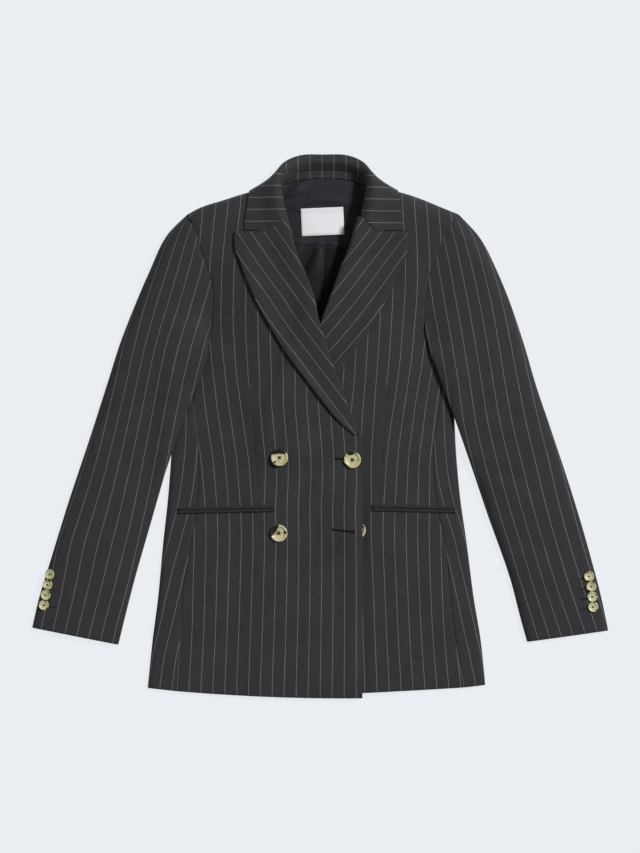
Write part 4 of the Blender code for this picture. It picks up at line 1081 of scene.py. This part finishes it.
def make_lapel(side, stripes):
    """Each section starts at the front's edge, turns over the roll and lies on the front."""
    rows, grain = [], []
    guide = through(side.lapel)
    numbers_at = stripe_lines(stripes)
    for along in steps(0.0, 1.0, LAPEL_ROWS):
        line = guide(along)
        start, reach, radius = line[:2], line[2:4] - line[:2], line[4] / 2
        width = float(np.linalg.norm(reach))
        outward = reach / width
        at_edge = start + outward * roll_inset(line[4])
        low = side.top(*at_edge) - WALL / 2
        nose = TURNED_WALL / 2 + radius
        section = [(nose + LAPEL_START, low)]
        for angle in range(-90, -271, -15):
            turn = radians(angle)
            section.append((nose + radius * cos(turn), low + radius + radius * sin(turn)))
        flat = max(width - nose, 1.0)
        section += [(nose + flat * t, None) for t in near_edges(LAPEL_COLUMNS, 70.0, 0.7, 1.5)[1:]]
        row = []
        for out, z in section:
            share = 0.0 if z is not None else out / width
            x, y = start + outward * out
            y -= gorge_sag(share) * (1 - ease(along / 0.16))
            if z is None:
                below = side.over_front(x, y) or side.top(x, y)
                by_edge = ease((share - 0.72) / 0.24) * ease(along / 0.12) * ease((1 - along) / 0.2)
                at_gorge = GORGE_LIFT * (1 - ease(along / 0.1))
                z = below + LAPEL_SEAT + TURNED_WALL / 2 + EDGE_LIFT * by_edge + at_gorge
                z += max(low + 2 * radius - z, 0.0) * (1 - ease((out - nose) / min(ROLL_RUNOUT, flat)))
            row.append((x, y, z))
        numbers = carry_on(row, [numbers_at(x, y) for x, y, z in row], LAPEL_FLAT_START, len(row) - 1)
        rows.append(row)
        grain.append([(on_cloth(number), (1.0 - along) * LAPEL_LENGTH * MM) for number in numbers])
    make_cloth(f"lapel_{side.name}_facing", f"lapel_{side.name}", rows, grain,
               wall=TURNED_WALL, flip=(side.inward < 0), middle=True,
               seams="l")


make_lapel(RIGHT, UPPER_LAPEL_STRIPES)
make_lapel(LEFT, UNDER_LAPEL_STRIPES)

# ======================== collar
# The collar stands up round the back of the neck, folds over and falls on the shoulders.
# Its stripes run from the neck seam to its outer edge all the way round.
NOTCH = 2.6                 # the notch between the collar and the peak
COLLAR_STEPS = 132
LEAF_COLUMNS = 44
STAND_COLUMNS = 8
GORGE_GAP = 0.21            # between the collar's end and the lapel
COLLAR_END_STEPS = 14       # so many of them are drawn to the gorge at either end
STAND_CUT = 9               # and the stand starts this many in
COLLAR_END_DROP = 1.8       # its two ends press down onto the lapels
HALF_COLLAR = table_of(
    "neck seam inner ridge fall edge",
    ((-55, 291, 29), (-53, 291, 29.5), (-45.5, 293.5, 35),
     (-51, 292, 40.5), (-76, 283.2, 36), (-106, 273, 33.8)),
    ((-59, 305, 27), (-56, 305, 28.5), (-48.5, 306, 35),
     (-55, 306, 41), (-80, 297, 35.5), (-104.5, 289, 33.8)),
    ((-63, 321, 24), (-58, 321, 27), (-52.5, 324, 34),
     (-59, 324, 40.5), (-83, 317, 35.5), (-101.5, 309, 33)),
    ((-61, 331, 18), (-55, 334, 24), (-54, 338, 33),
     (-60, 339, 39.5), (-82, 336, 32), (-99.5, 324, 28.5)),
    ((-56, 335, 12), (-50, 343, 19), (-52.5, 349, 29),
     (-58, 352, 34.5), (-77, 342.5, 20), (-97.5, 331, 12)),
    ((-48, 339, 8), (-43, 350, 15), (-49, 357, 25),
     (-54, 360, 29), (-66, 352.5, 9), (-84, 329, 0)),
    ((-37, 343, 5.6), (-34, 354.5, 10), (-42, 364, 20.5),
     (-47, 370, 19), (-54, 362, 1.5), (-62, 325, 0)),
    ((-21, 346, 4.8), (-20, 358, 7), (-25, 370, 15.5),
     (-31, 379, 10), (-34, 373, 0), (-36, 327, 0)),
    ((5, 347.5, 4.6), (5, 359, 6), (5, 371.5, 13.5), (5, 381.1, 6), (5, 374, 0), (5, 331, 0)))


def collar_stations():
    """Stations from the wearer's right gorge round the back neck to the left gorge."""
    far = [[(2 * CENTRE_BACK_NECK_X - x, y, z) for x, y, z in row] for row in HALF_COLLAR[-2::-1]]
    rows = [[value for point in row for value in point] for row in HALF_COLLAR + far]
    keys = np.cumsum([0.0] + [dist(a[6:15], b[6:15]) for a, b in zip(rows, rows[1:])])
    line = smooth_line(keys / keys[-1], rows)
    return [line(t).reshape(6, 3) for t in steps(0.0, 1.0, COLLAR_STEPS)]


def gorge_y(x, lapel):
    """Where the collar's end meets the lapel, with the notch opening towards the peak."""
    share = min(max((x - lapel.roll_x) / (lapel.edge_x - lapel.roll_x), 0.0), 1.0)
    notch = NOTCH * ease((share - GORGE_PLACE) / 0.2)
    return mix(lapel.roll_y, lapel.edge_y, share) - gorge_sag(share) + GORGE_GAP + notch


def collar_number(x, y):
    """Behind the neck the stripes run up the collar, and on its two ends they lie level."""
    upright = (x - 2.5) / 16.8
    high = ease((y - 335) / 25)
    if x < CENTRE_BACK_NECK_X:
        level, turned = -5 + (y - 335.6) / 16.6, ease((mix(-36, -46, high) - x) / 10)
    else:
        level, turned = 5 - (y - 333.1) / 16.5, ease((x - mix(46, 56, high)) / 10)
    return mix(upright, level, turned)


def make_collar():
    leaf_rows, stand_rows = [], []
    for neck, seam, inner, ridge, fall, edge in collar_stations():
        section = through([seam, inner, ridge, fall, edge])
        places = map(section, near_edges(LEAF_COLUMNS, 80.0, 0.8, 1.8))
        leaf_rows.append([[x, y, max(z, 0.0)] for x, y, z in places])
        stand_rows.append([mix(neck, mix(seam, neck, 0.05), t) for t in steps(0.0, 1.0, STAND_COLUMNS)])
    for end, onward, lapel in ((0, 1, UPPER_LAPEL[0]), (-1, -1, UNDER_LAPEL[0])):
        shift = [0.0] + [gorge_y(place[0], lapel) - place[1] for place in leaf_rows[end][1:]]
        for count in range(COLLAR_END_STEPS):
            share = 1 - ease(count / COLLAR_END_STEPS)
            for place, move in zip(leaf_rows[end + onward * count], shift):
                place[1] += move * share
                place[2] -= COLLAR_END_DROP * share
    leaf_grain = []
    for row in leaf_rows:
        widths = np.cumsum([0.0] + [dist(a, b) for a, b in zip(row, row[1:])])
        leaf_grain.append([(on_cloth(collar_number(x, y)), width * MM)
                           for (x, y, z), width in zip(row, widths)])
    stand_rows = stand_rows[STAND_CUT:-STAND_CUT]
    stand_grain = [[(on_cloth(collar_number(x, y)), 0.001 * k - 0.01) for k, (x, y, z) in enumerate(row)]
                   for row in stand_rows]
    make_cloth("collar_leaf_turned", "collar_leaf", leaf_rows, leaf_grain,
               wall=TURNED_WALL, flip=True,
               seams="l")
    make_cloth("collar_stand_band", "collar_stand", stand_rows, stand_grain,
               flip=True, seams="lr")


make_collar()

# ======================== sleeves
# Two-piece sleeves: a wide top sleeve and a narrower under sleeve, joined along the fold
# and set into the armhole. They lie flat beside the jacket with soft creases at the elbow.
SLEEVE_SEAT = 1.9
SLEEVE_MIDDLE = 5.0
SLEEVE_THINNEST = 3.4
CROWN_FALL = 0.22           # share by which a sleeve is lower at its folds
CROWN_LEAST = 7
SLEEVE_UNDER_ROUND = 6.0
CAP_REACH = 0.3             # share of the sleeve that still follows the armhole's curve
CAP_INNER_ROUND = 8.0
SLEEVE_DRAPE = 34.0         # the sleeve comes down to the table this far from the side fold
SLEEVE_UNDER_DRAPE = 19.0   # and its under side hangs down closer by
SLEEVE_LIFT_TOP = 158       # above this the sleeve isn't lifted by the jacket's side
SLEEVE_LIFT_FADE = 20
CROWN_LIFT = 0.4            # share of that lift that the crown takes up
SLEEVE_SEAM_GAP = 0.4
OUTER_SEAM = (-1.06, 0.35)  # its places at the shoulder and at the cuff
OUTER_SEAM_TURN = (0.42, 0.25)  # it crosses the fold from this share on, over this share
ARMHOLE_GAP = 0.05
ARMPIT_GAP = 0.1
INNER_SEAM_INSET = 20.0
UNDERLAP = 3.2              # the sleeve's seam allowance turns in under the front's edge
UNDERLAP_DROP = 2.0
SLEEVE_STOPS = [0.0, 0.0012, 0.003, 0.006] + steps(0.012, 1.0, 120)
SLEEVE = "outer_x outer_y inner_x inner_y thick round"
RIGHT.sleeve = table_of(
    SLEEVE,
    (-186.5, 297, -153.5, 150, 29, 18), (-214, 269, -153.6, 136, 29, 18), (-240, 216, -157.0, 118, 27, 17),
    (-259, 172, -158, 100, 24, 16), (-279, 121, -164, 76, 21, 15), (-297, 65, -185, 26, 19, 14),
    (-324, -19, -214, -57, 17.5, 13), (-352, -103, -238, -138, 16.5, 12), (-378, -187, -261, -218, 15, 11),
    (-395, -243, -274, -269, 13.5, 10), (-404, -282, -283, -306, 12, 9))
LEFT.sleeve = table_of(
    SLEEVE,
    (194.5, 297, 148.0, 150, 29, 18), (223.5, 265, 147.6, 136, 29, 18), (248, 218, 150.5, 118, 27, 17),
    (265, 177, 155, 101, 24, 16), (284, 121, 164, 76, 21, 15), (302, 60, 184, 22, 19, 14),
    (325, -8, 213, -60, 17.5, 13), (352, -90, 235, -125, 16.5, 12), (378, -178, 267, -216, 15, 11),
    (395, -243, 281, -270, 13.5, 10), (404, -286, 290, -302, 12, 9))
SLEEVE_STRIPES = "y first_x fourth_x sixth_x"
RIGHT.sleeve_stripes = table_of(
    SLEEVE_STRIPES,
    (267.5, -215, -171, -139), (225.5, -227, -182, -147.5), (169.5, -245, -198, -163),
    (113.5, -259.5, -215.5, -179.5), (57.5, -272, -227.5, -193), (1.5, -285, -238, -204.5),
    (-54.5, -298.5, -249, -215.5), (-110.5, -314, -260, -227), (-166.5, -330.5, -273, -239.5),
    (-222.5, -342, -287.5, -251), (-278.5, -355, -302.5, -267), (-313.5, -363.5, -310.5, -276))
LEFT.sleeve_stripes = table_of(
    SLEEVE_STRIPES,
    (267.5, 172, 216, 243.5), (225.5, 180.5, 227, 257.5), (169.5, 191, 240, 273.5),
    (113.5, 201, 250, 284.5), (57.5, 210, 259, 296.5), (1.5, 218.5, 269.5, 308.5),
    (-54.5, 231.5, 283, 321.5), (-110.5, 247.5, 297, 334.5), (-166.5, 265, 313, 350),
    (-222.5, 282, 330, 367), (-278.5, 299.5, 349.5, 385), (-313.5, 310.5, 361, 396))
SLEEVE_CREASES = table_of(
    CREASE,
    (-196, 106, 30, 34, 8, -1.1), (-214, 70, 22, 40, 8, 1.0), (-240, 28, 14, 44, 9, -1.1),
    (-262, -12, 8, 46, 8, 1.0), (-228, -30, 22, 26, 7, 0.9), (-268, -60, 16, 40, 9, -1.0),
    (-300, -96, 4, 36, 8, 0.8), (-300, -150, 22, 44, 10, -0.8), (-334, -206, 14, 36, 9, 0.7),
    (-222, 190, 62, 50, 12, 0.8), (-196, 226, 72, 36, 9, -0.9), (-244, 128, 66, 44, 11, -0.7),
    (194, 104, -32, 32, 8, -1.2), (212, 62, -24, 38, 8, 1.0), (236, 24, -16, 42, 9, -1.0),
    (262, -6, -10, 44, 8, 1.0), (230, -44, -26, 28, 7, 0.9), (268, -72, -18, 42, 9, -1.0),
    (296, -110, -6, 34, 8, 0.9), (304, -166, -24, 44, 10, -0.8), (340, -214, -14, 36, 9, 0.7),
    (228, 186, -62, 48, 12, 0.8), (198, 230, -70, 36, 9, -0.9), (250, 120, -68, 44, 11, -0.7))


def ground_lift(x, y, drape=SLEEVE_DRAPE):
    """How high the side of the jacket lifts a sleeve that lies across it."""
    side = RIGHT if x < 0 else LEFT
    edge = side.edge(y)
    outside = (edge - x) * side.inward
    lift = under_top(edge, y)
    if outside < 0:
        lift = max(lift, side.over_trunk(x, y) or 0.0)
    lift = (lift + SLEEVE_SEAT) * (1 - ease(outside / drape))
    return lift * ease((SLEEVE_LIFT_TOP - y) / SLEEVE_LIFT_FADE)


def sleeve_width(station):
    return dist(station[:2], station[2:4])


def sleeve_point(station, place, pull=0.0, armhole_bow=None):
    """Outer point of a flattened sleeve at a station, a row like those of its table. The place
    runs 0 to 1 round the outer fold's top, 1 to 2 across the top, 2 to 3 and 3 to 4 round the
    inner fold, 4 to 5 across below and 5 to 6 round the outer fold below. pull draws the point
    onto the armhole."""
    station = np.array(station, float)
    outer, inner, (thick, outer_round) = station[:2], station[2:4], station[4:]
    width = sleeve_width(station)
    zone = int(place % 6.0)
    t = place % 6.0 - zone
    turn = t * pi / 2
    inner_round = mix(outer_round, CAP_INNER_ROUND, pull)
    across, rise = (
        (outer_round * (1 - cos(turn)), sin(turn)),
        (mix(outer_round, width - inner_round, t), 1.0),
        (width - inner_round * (1 - sin(turn)), cos(turn)),
        (width - SLEEVE_UNDER_ROUND * (1 - cos(turn)), -sin(turn)),
        (mix(width - SLEEVE_UNDER_ROUND, SLEEVE_UNDER_ROUND, t), -1.0),
        (SLEEVE_UNDER_ROUND * (1 - sin(turn)), -cos(turn)),
    )[zone]
    share = across / width
    x, y = mix(outer, inner, share)
    if pull > 0.0:
        x += pull * armhole_bow(share)
    lift = ground_lift(x, y)
    crown = thick * (1 - CROWN_FALL * (2 * share - 1) ** 2) + CROWN_LIFT * lift
    crown = max(crown, lift + CROWN_LEAST)
    crown += crease_height(SLEEVE_CREASES, x, y) * (1 - pull)
    top = max(mix(crown, creased_top(x, y), pull), lift + SLEEVE_THINNEST)
    middle = min(lift + SLEEVE_MIDDLE, max(top - 2, (lift + top) / 2))
    if rise < 0:
        top = ground_lift(x, y, SLEEVE_UNDER_DRAPE)
    return (x, y, mix(middle, top, abs(rise)))


def outer_seam(along):
    """Place of the seam by the outer fold: under it at the shoulder, just over it at the cuff."""
    return mix(*OUTER_SEAM, ramp(along, *OUTER_SEAM_TURN))


def place_step(station, place, *cap):
    """The change of place that moves a sleeve's point by half the seam's gap."""
    here, there = sleeve_point(station, place, *cap), sleeve_point(station, place + 0.02, *cap)
    return 0.02 * SLEEVE_SEAM_GAP / 2 / dist(here, there)


def armhole_line(side):
    """How far the armhole's curve bows off a straight line, from 0 at the shoulder to 1 at the armpit."""
    first = side.sleeve[0]

    def at(share):
        y = mix(first.outer_y, first.inner_y, share)
        x = side.seam(y) - side.inward * mix(ARMPIT_GAP, ARMHOLE_GAP, ease((y - 150) / 30))
        tip = max(0.0, 1 - share / 0.02)
        return mix(x, first.outer_x, tip) - mix(first.outer_x, first.inner_x, share)

    return at


def cap_places(side):
    """Places across the top of the sleeve that meet the front's rows at the armhole."""
    first = side.sleeve[0]
    width = sleeve_width(first)
    places = []
    for along in front_stops(side)[-2:-30:-1]:
        across = width * (first.outer_y - side_row_y(side, along)) / (first.outer_y - first.inner_y)
        places.append(1 + (across - first.round) / (width - first.round - CAP_INNER_ROUND))
    return [place for place in places if place < 1.95]


def sleeve_numbers(side):
    """The stripe's number at a point on the top of a sleeve."""
    line = curve(side.sleeve_stripes, "y", "first_x", "fourth_x", "sixth_x")

    def at(x, y):
        first, fourth, sixth = line(y)
        return 3 * (x - first) / (fourth - first) if x < fourth else 3 + 2 * (x - fourth) / (sixth - fourth)

    return at


def make_sleeve(side):
    numbers_at, at_cap, armhole_bow = sleeve_numbers(side), cap_places(side), armhole_line(side)
    top_rows, top_grain, hind_rows, hind_grain = [], [], [], []
    total = 0.0
    before = None
    guide = through(side.sleeve)
    for along in SLEEVE_STOPS:
        station = guide(along)
        cap = (1 - ease(along / CAP_REACH), armhole_bow)
        seam = outer_seam(along)
        seam_step = place_step(station, seam, *cap)
        inner = 4 + INNER_SEAM_INSET / (sleeve_width(station) - 2 * SLEEVE_UNDER_ROUND)
        inner_step = place_step(station, inner, *cap)
        places = [seam + seam_step * count for count in (1, 4, 8)]
        places += steps(seam + 15 * seam_step, at_cap[0], 16) + at_cap[1:]
        places += steps(places[-1], 2.0, 3)[1:] + steps(2.0, 4.0, 14)[1:] + [inner - inner_step]
        row = []
        for place in places:
            x, y, z = sleeve_point(station, place, *cap)
            by_seam = abs(place - seam) / max(abs(seam_step), 1e-6) * SLEEVE_SEAM_GAP / 2
            sink = 0.25 * exp(-(by_seam / 1.6) ** 2) * ease((seam + 0.2) / 0.6)
            row.append((x, y, max(z - sink - 0.8 * exp(-(along * 500 / 2.5) ** 2), 0.0)))
        flats = [k for k, place in enumerate(places) if 1.0 <= place <= 2.0]
        first = flats[0] if seam < 1.0 else 0
        numbers = carry_on(row, [numbers_at(x, y) for x, y, z in row], first, flats[-1])
        middle = row[len(row) // 2]
        total += dist(before or middle, middle)
        before = middle
        end = 6 + seam - seam_step
        bend = min(5.0, mix(4.3, end, 0.6))
        hind = [sleeve_point(station, place, *cap)
                for place in [inner + inner_step] + steps(4.3, bend, 8) + steps(bend, end, 12)[1:]]
        if not top_rows:
            tucks = [ease((place - 0.5) / 0.4) * (1 - ease((place - 1.85) / 0.15)) for place in places]
            top_rows.append([(x + side.inward * UNDERLAP * tuck, y, z - UNDERLAP_DROP * tuck)
                             for (x, y, z), tuck in zip(row, tucks)])
            top_grain.append([(on_cloth(number), -UNDERLAP * MM) for number in numbers])
            hind_rows.append([(x + side.inward * UNDERLAP, y, z) for x, y, z in hind])
            hind_grain.append([(0.002 * k, -UNDERLAP * MM) for k in range(len(hind))])
        top_rows.append(row)
        top_grain.append([(on_cloth(number), total * MM) for number in numbers])
        run = np.cumsum([0.0] + [dist(a, b) for a, b in zip(hind, hind[1:])])
        hind_rows.append(hind)
        hind_grain.append([((length - run[-1] + 0.45 * STRIPE_PITCH) * MM, total * MM) for length in run])
    make_cloth(f"sleeve_top_{side.name}_panel", f"sleeve_top_{side.name}", top_rows, top_grain,
               flip=(side.inward > 0),
               seams="lrb")
    make_cloth(f"sleeve_under_{side.name}_panel", f"sleeve_under_{side.name}", hind_rows, hind_grain,
               flip=(side.inward > 0), seams="lrb")


make_sleeve(RIGHT)
make_sleeve(LEFT)

# ======================== buttons
# Horn-look buttons with a raised rim and four holes, sewn on with dark thread: four on the
# fronts, one of them under the overlap, and four touching in a row on each sleeve vent.
FRONT_BUTTON = (12.0, 3.8)      # radius and thickness
SLEEVE_BUTTON = (7.1, 2.6)
BUTTON_SIDES = 72
HOLE_SIDES = 14
HOLE_RADIUS = 0.075             # this and the next are over the button's radius
HOLE_OFF = 0.14
BUTTON_STEP = 14.3
THREAD_SIDES = 6
THREAD_RADIUS = 0.032           # this and the next are over the button's radius, too
THREAD_REACH = 0.215
BUTTON_PROFILE = table_of(
    "radius height",
    (0.36, 0.42), (0.50, 0.42), (0.62, 0.46), (0.70, 0.60), (0.76, 0.84), (0.82, 0.96), (0.89, 1.0),
    (0.95, 0.93), (0.99, 0.78), (1.0, 0.62), (0.985, 0.42), (0.94, 0.22), (0.84, 0.08), (0.60, 0.0))
# On the first three front buttons the dark clouds are the horn's own. On the hidden fourth, over its top,
# they are painted shade from the overlapping front.
FRONT_MOTTLES_AND_SHADE = [               # dark clouds, each with its angle, reach and spread
    [(140, 0.95, 0.32), (110, 0.82, 0.34), (80, 0.8, 0.34), (50, 0.9, 0.3), (222, 0.74, 0.22)],
    [(92, 0.8, 0.26), (118, 0.84, 0.26), (64, 0.98, 0.16), (216, 1.1, 0.28), (240, 1.1, 0.24)],
    [(108, 0.92, 0.26), (130, 0.8, 0.36), (158, 0.8, 0.38), (182, 0.95, 0.34), (8, 0.72, 0.22)],
    [(38, 0.92, 0.26), (62, 0.9, 0.36), (95, 0.95, 0.3)],
]
# On the sleeve buttons the dark clouds lie out on the rims: painted shade round their edges, where they
# touch.
SLEEVE_RIM_SHADE = [
    [(120, 1.12, 0.36), (262, 1.05, 0.30)], [(62, 1.1, 0.36), (240, 1.05, 0.34)],
    [(28, 1.1, 0.34), (200, 1.12, 0.36)], [(75, 1.12, 0.36), (318, 1.05, 0.30)],
]
SLEEVE_BUTTON_ROWS = table_of(
    "side first_y place_first place_last", (RIGHT, -208.0, 0.70, 0.98), (LEFT, -210.5, 0.98, 1.05))


def make_horn(name):
    """Cast resin like pale horn: cream and olive with dark brown clouds, polished. Its dark colour also
    paints shade over the hidden button's top and round the sleeve buttons' rims.
    """
    material, tree, shader, place = new_material(name, "Object")
    clouds = noise(tree, place, 150.0, 4.0, Distortion=0.8)
    veins = noise(tree, place, 420.0, 3.0, Distortion=1.5)
    mottle = add(tree, "ShaderNodeAttribute", attribute_name="mottle").outputs["Fac"]
    ramp = add(tree, "ShaderNodeValToRGB", {"Fac": clouds})
    stops = ramp.color_ramp.elements
    stops[0].position, stops[0].color = 0.32, (0.36, 0.33, 0.15, 1)
    stops[1].position, stops[1].color = 0.66, (0.63, 0.50, 0.29, 1)
    stops.new(0.46).color = (0.57, 0.535, 0.29, 1)
    stops.new(0.57).color = (0.64, 0.60, 0.40, 1)
    edge = sums(tree, "ADD", mottle, product(tree, sums(tree, "SUBTRACT", veins, 0.5), 0.7))
    dark = ranged(tree, edge, 0.0, 1.0, 0.2, 0.72, interpolation_type="SMOOTHSTEP")
    fill(tree, shader, {
        "Base Color": blended(tree, dark, ramp.outputs[0], (0.014, 0.009, 0.006, 1)),
        "Roughness": ranged(tree, veins, 0.24, 0.36), "Coat Weight": 0.35, "Coat Roughness": 0.12,
        "Subsurface Weight": 0.08, "Subsurface Radius": (0.002, 0.0015, 0.0008)})
    return material


def ring_points(radius, height, sides, x=0.0, y=0.0):
    turns = [tau * k / sides for k in range(sides)]
    return [(x + radius * cos(turn), y + radius * sin(turn), height) for turn in turns]


def add_tube(points, faces, rings, caps=True):
    """Joins rings of points, and closes the tube they form at both ends."""
    base, sides = len(points), len(rings[0])
    for level, ring in enumerate(rings):
        low = len(points)
        points += ring
        if level:
            faces += [(low - sides + k, low - sides + (k + 1) % sides, low + (k + 1) % sides, low + k)
                      for k in range(sides)]
    if caps:
        faces.append(tuple(range(base + sides - 1, base - 1, -1)))
        faces.append(tuple(range(len(points) - sides, len(points))))


def make_button(name, size, place, turned, mottles_and_shade, node):
    """The rim is turned from its profile. The dished middle is a plate with four round holes."""
    radius, thick = size
    points, faces = [], []
    add_tube(points, faces, [ring_points(ring.radius * radius, ring.height * thick, BUTTON_SIDES)
                             for ring in BUTTON_PROFILE[::-1]], caps=False)
    low_centre, top_centre = len(points), len(points) + 1
    points += [(0.0, 0.0, 0.0), (0.0, 0.0, BUTTON_PROFILE[0].height * thick)]
    top = low_centre - BUTTON_SIDES
    for k in range(BUTTON_SIDES):
        onward = (k + 1) % BUTTON_SIDES
        faces += [(top + k, top + onward, top_centre), (onward, k, low_centre)]
    piece = new_object(name, new_mesh(name, points, faces))
    points, faces = [], []
    for dx, dy in CORNERS:
        centre = (dx * HOLE_OFF * radius, dy * HOLE_OFF * radius)
        add_tube(points, faces, [ring_points(HOLE_RADIUS * radius, height, HOLE_SIDES, *centre)
                                 for height in (-1.0, thick)])
    drill = new_object(name + "_drill", new_mesh(name + "_drill", points, faces))
    cut = piece.modifiers.new("holes", "BOOLEAN")
    cut.object = drill
    cut.solver = "EXACT"
    holed = bpy.data.meshes.new_from_object(piece.evaluated_get(bpy.context.evaluated_depsgraph_get()))
    piece.modifiers.clear()
    bpy.data.objects.remove(drill)
    piece.data = holed
    # Each point's darkness from the button's clouds: horn mottle, and painted shade on the hidden button
    # and the sleeve buttons' rims.
    values = []
    for vertex in holed.vertices:
        x, y = vertex.co.x / radius, vertex.co.y / radius
        value = 0.0
        for angle, reach, spread in mottles_and_shade:
            turn = radians(angle)
            away = hypot(x - reach * cos(turn), y - reach * sin(turn))
            value += exp(-(away / spread) ** 2)
        values.append(min(value, 1.0))
    holed.attributes.new("mottle", "FLOAT", "POINT").data.foreach_set("value", values)
    holed.transform(Matrix.Diagonal((MM, MM, MM, 1)) @ Matrix.Translation(place) @ turned)
    holed.shade_smooth()
    holed.set_sharp_from_angle(angle=radians(40))
    holed.materials.clear()
    holed.materials.append(horn)
    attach(piece, "root")
    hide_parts(node)


def make_cross(name, size, place, turned):
    """Thread over the four holes, crossed, in two passes each way."""
    radius, thick = size
    points, faces = [], []
    bar = THREAD_RADIUS * radius
    for turn, lift in ((radians(45), 0.5 * bar), (radians(135), 0.0)):
        for pass_off in (-0.9, 0.9):
            rings = []
            for t in steps(1.0, -1.0, 10):
                reach = THREAD_REACH * radius * t
                height = 0.42 * thick + 0.11 * radius * quarter(1 - abs(t)) - 0.03 * radius + lift
                ring = []
                for k in range(THREAD_SIDES):
                    angle = tau * k / THREAD_SIDES
                    off = bar * (cos(angle) + pass_off)
                    ring.append((reach * cos(turn) - off * sin(turn),
                                 reach * sin(turn) + off * cos(turn), height + bar * sin(angle)))
                rings.append(ring)
            add_tube(points, faces, rings)
    mesh = new_mesh(name, points, faces)
    mesh.transform(Matrix.Diagonal((MM, MM, MM, 1)) @ Matrix.Translation(place) @ turned)
    mesh.shade_smooth()
    mesh.materials.append(dark_thread)
    piece = new_object(name, mesh)
    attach(piece, "root")


def sewn_button(name, size, place, normal, mottles_and_shade, node):
    turned = Vector((0, 0, 1)).rotation_difference(Vector(normal)).to_matrix().to_4x4()
    make_button(name, size, place, turned, mottles_and_shade, node)
    make_cross(name + "_thread", size, place, turned)


def make_front_buttons():
    for number, button in enumerate(FRONT_BUTTONS):
        over_front = (LEFT if number == HIDDEN_BUTTON else RIGHT).over_front
        below = [over_front(button.x + dx, button.y + dy) or 0.0 for dx in (-8, 0, 8) for dy in (-8, 0, 8)]
        place = (button.x, button.y, max(below) + GAP)
        sewn_button(f"front_button_{number + 1}", FRONT_BUTTON, place, (0, 0, 1), FRONT_MOTTLES_AND_SHADE[number],
                    f"button_front_{number + 1}")


def make_sleeve_buttons(row):
    guide = through(row.side.sleeve)
    for number in range(4):
        place = mix(row.place_first, row.place_last, number / 3)
        low, high = 0.0, 1.0
        for _ in range(30):
            along = (low + high) / 2
            point = sleeve_point(guide(along), place)
            low, high = (along, high) if point[1] > row.first_y - BUTTON_STEP * number else (low, along)
        station = guide(along)
        slope = np.array(sleeve_point(station, place + 0.15)) - np.array(point)
        run = float(np.linalg.norm(slope[:2]))
        normal = np.array([-slope[0] * slope[2] / run, -slope[1] * slope[2] / run, run])
        normal = normal / np.linalg.norm(normal)
        seat = np.array(point) + normal * (GAP + 0.3)
        end = f"{row.side.name}_{number + 1}"
        sewn_button(f"sleeve_button_{end}", SLEEVE_BUTTON, seat, normal, SLEEVE_RIM_SHADE[number],
                    f"button_sleeve_{end}")
        hole = [sleeve_point(station, t) for t in steps(place + 0.09, place + 0.17, 6)]
        sew(f"sleeve_buttonhole_{end}", [(x, y, z + 0.1) for x, y, z in hole], 0.7, 2.2, 0.55)


horn = make_horn("mottled_horn")
make_front_buttons()
for row in SLEEVE_BUTTON_ROWS:
    make_sleeve_buttons(row)

# ======================== buttonholes
# Each worked buttonhole is a slit closed round with dark purl stitches and a round eye at
# the front edge's end. The lower one is empty, because its button sits under the overlap.
# Down each slit's middle a row of dark beads paints the shade in the opening.
BUTTONHOLES = table_of("name outer_x inner_x outer_y inner_y", ("upper", 21.5, 46.0, -45.5, -46.5),
                       ("lower", 18.0, 45.5, -144.8, -148.2))
HOLE_HALF = 0.7             # half the slit's width with its stitches
EYE_LONG, EYE_HALF = 0.08, 1.9
HOLE_BAR_HALF = 1.6


def make_buttonhole(hole):
    def place(along, off):
        x = mix(hole.outer_x, hole.inner_x, along)
        y = mix(hole.outer_y, hole.inner_y, along) + off
        return x, y, RIGHT.over_front(x, y) + 0.25

    turns = [radians(angle) for angle in range(-60, 61, 20)]
    loop = [(t, -HOLE_HALF) for t in steps(0.0, 0.98, 20)]
    loop += [(1 + EYE_LONG * cos(turn), EYE_HALF * sin(turn)) for turn in turns]
    loop += [(t, HOLE_HALF) for t in steps(0.98, 0.0, 20)] + [(-0.03, 0.0), (0.0, -HOLE_HALF)]
    sew(f"buttonhole_{hole.name}_purl", [place(*point) for point in loop], 0.5, 1.5, 0.6, uneven=0.3)
    # Dark beads along the slit's middle: painted shade in the cut opening.
    sew(f"buttonhole_{hole.name}_slit", [place(t, 0.0) for t in steps(0.0, 1.0, 24)], 0.5, 1.1, 0.5)
    for end, at in (("outer", 0.0), ("inner", 1.02)):
        bar = [place(at, off) for off in steps(-HOLE_BAR_HALF, HOLE_BAR_HALF, 6)]
        sew(f"buttonhole_{hole.name}_{end}_bar", bar, 0.5, 2.6, 0.7)


for hole in BUTTONHOLES:
    make_buttonhole(hole)
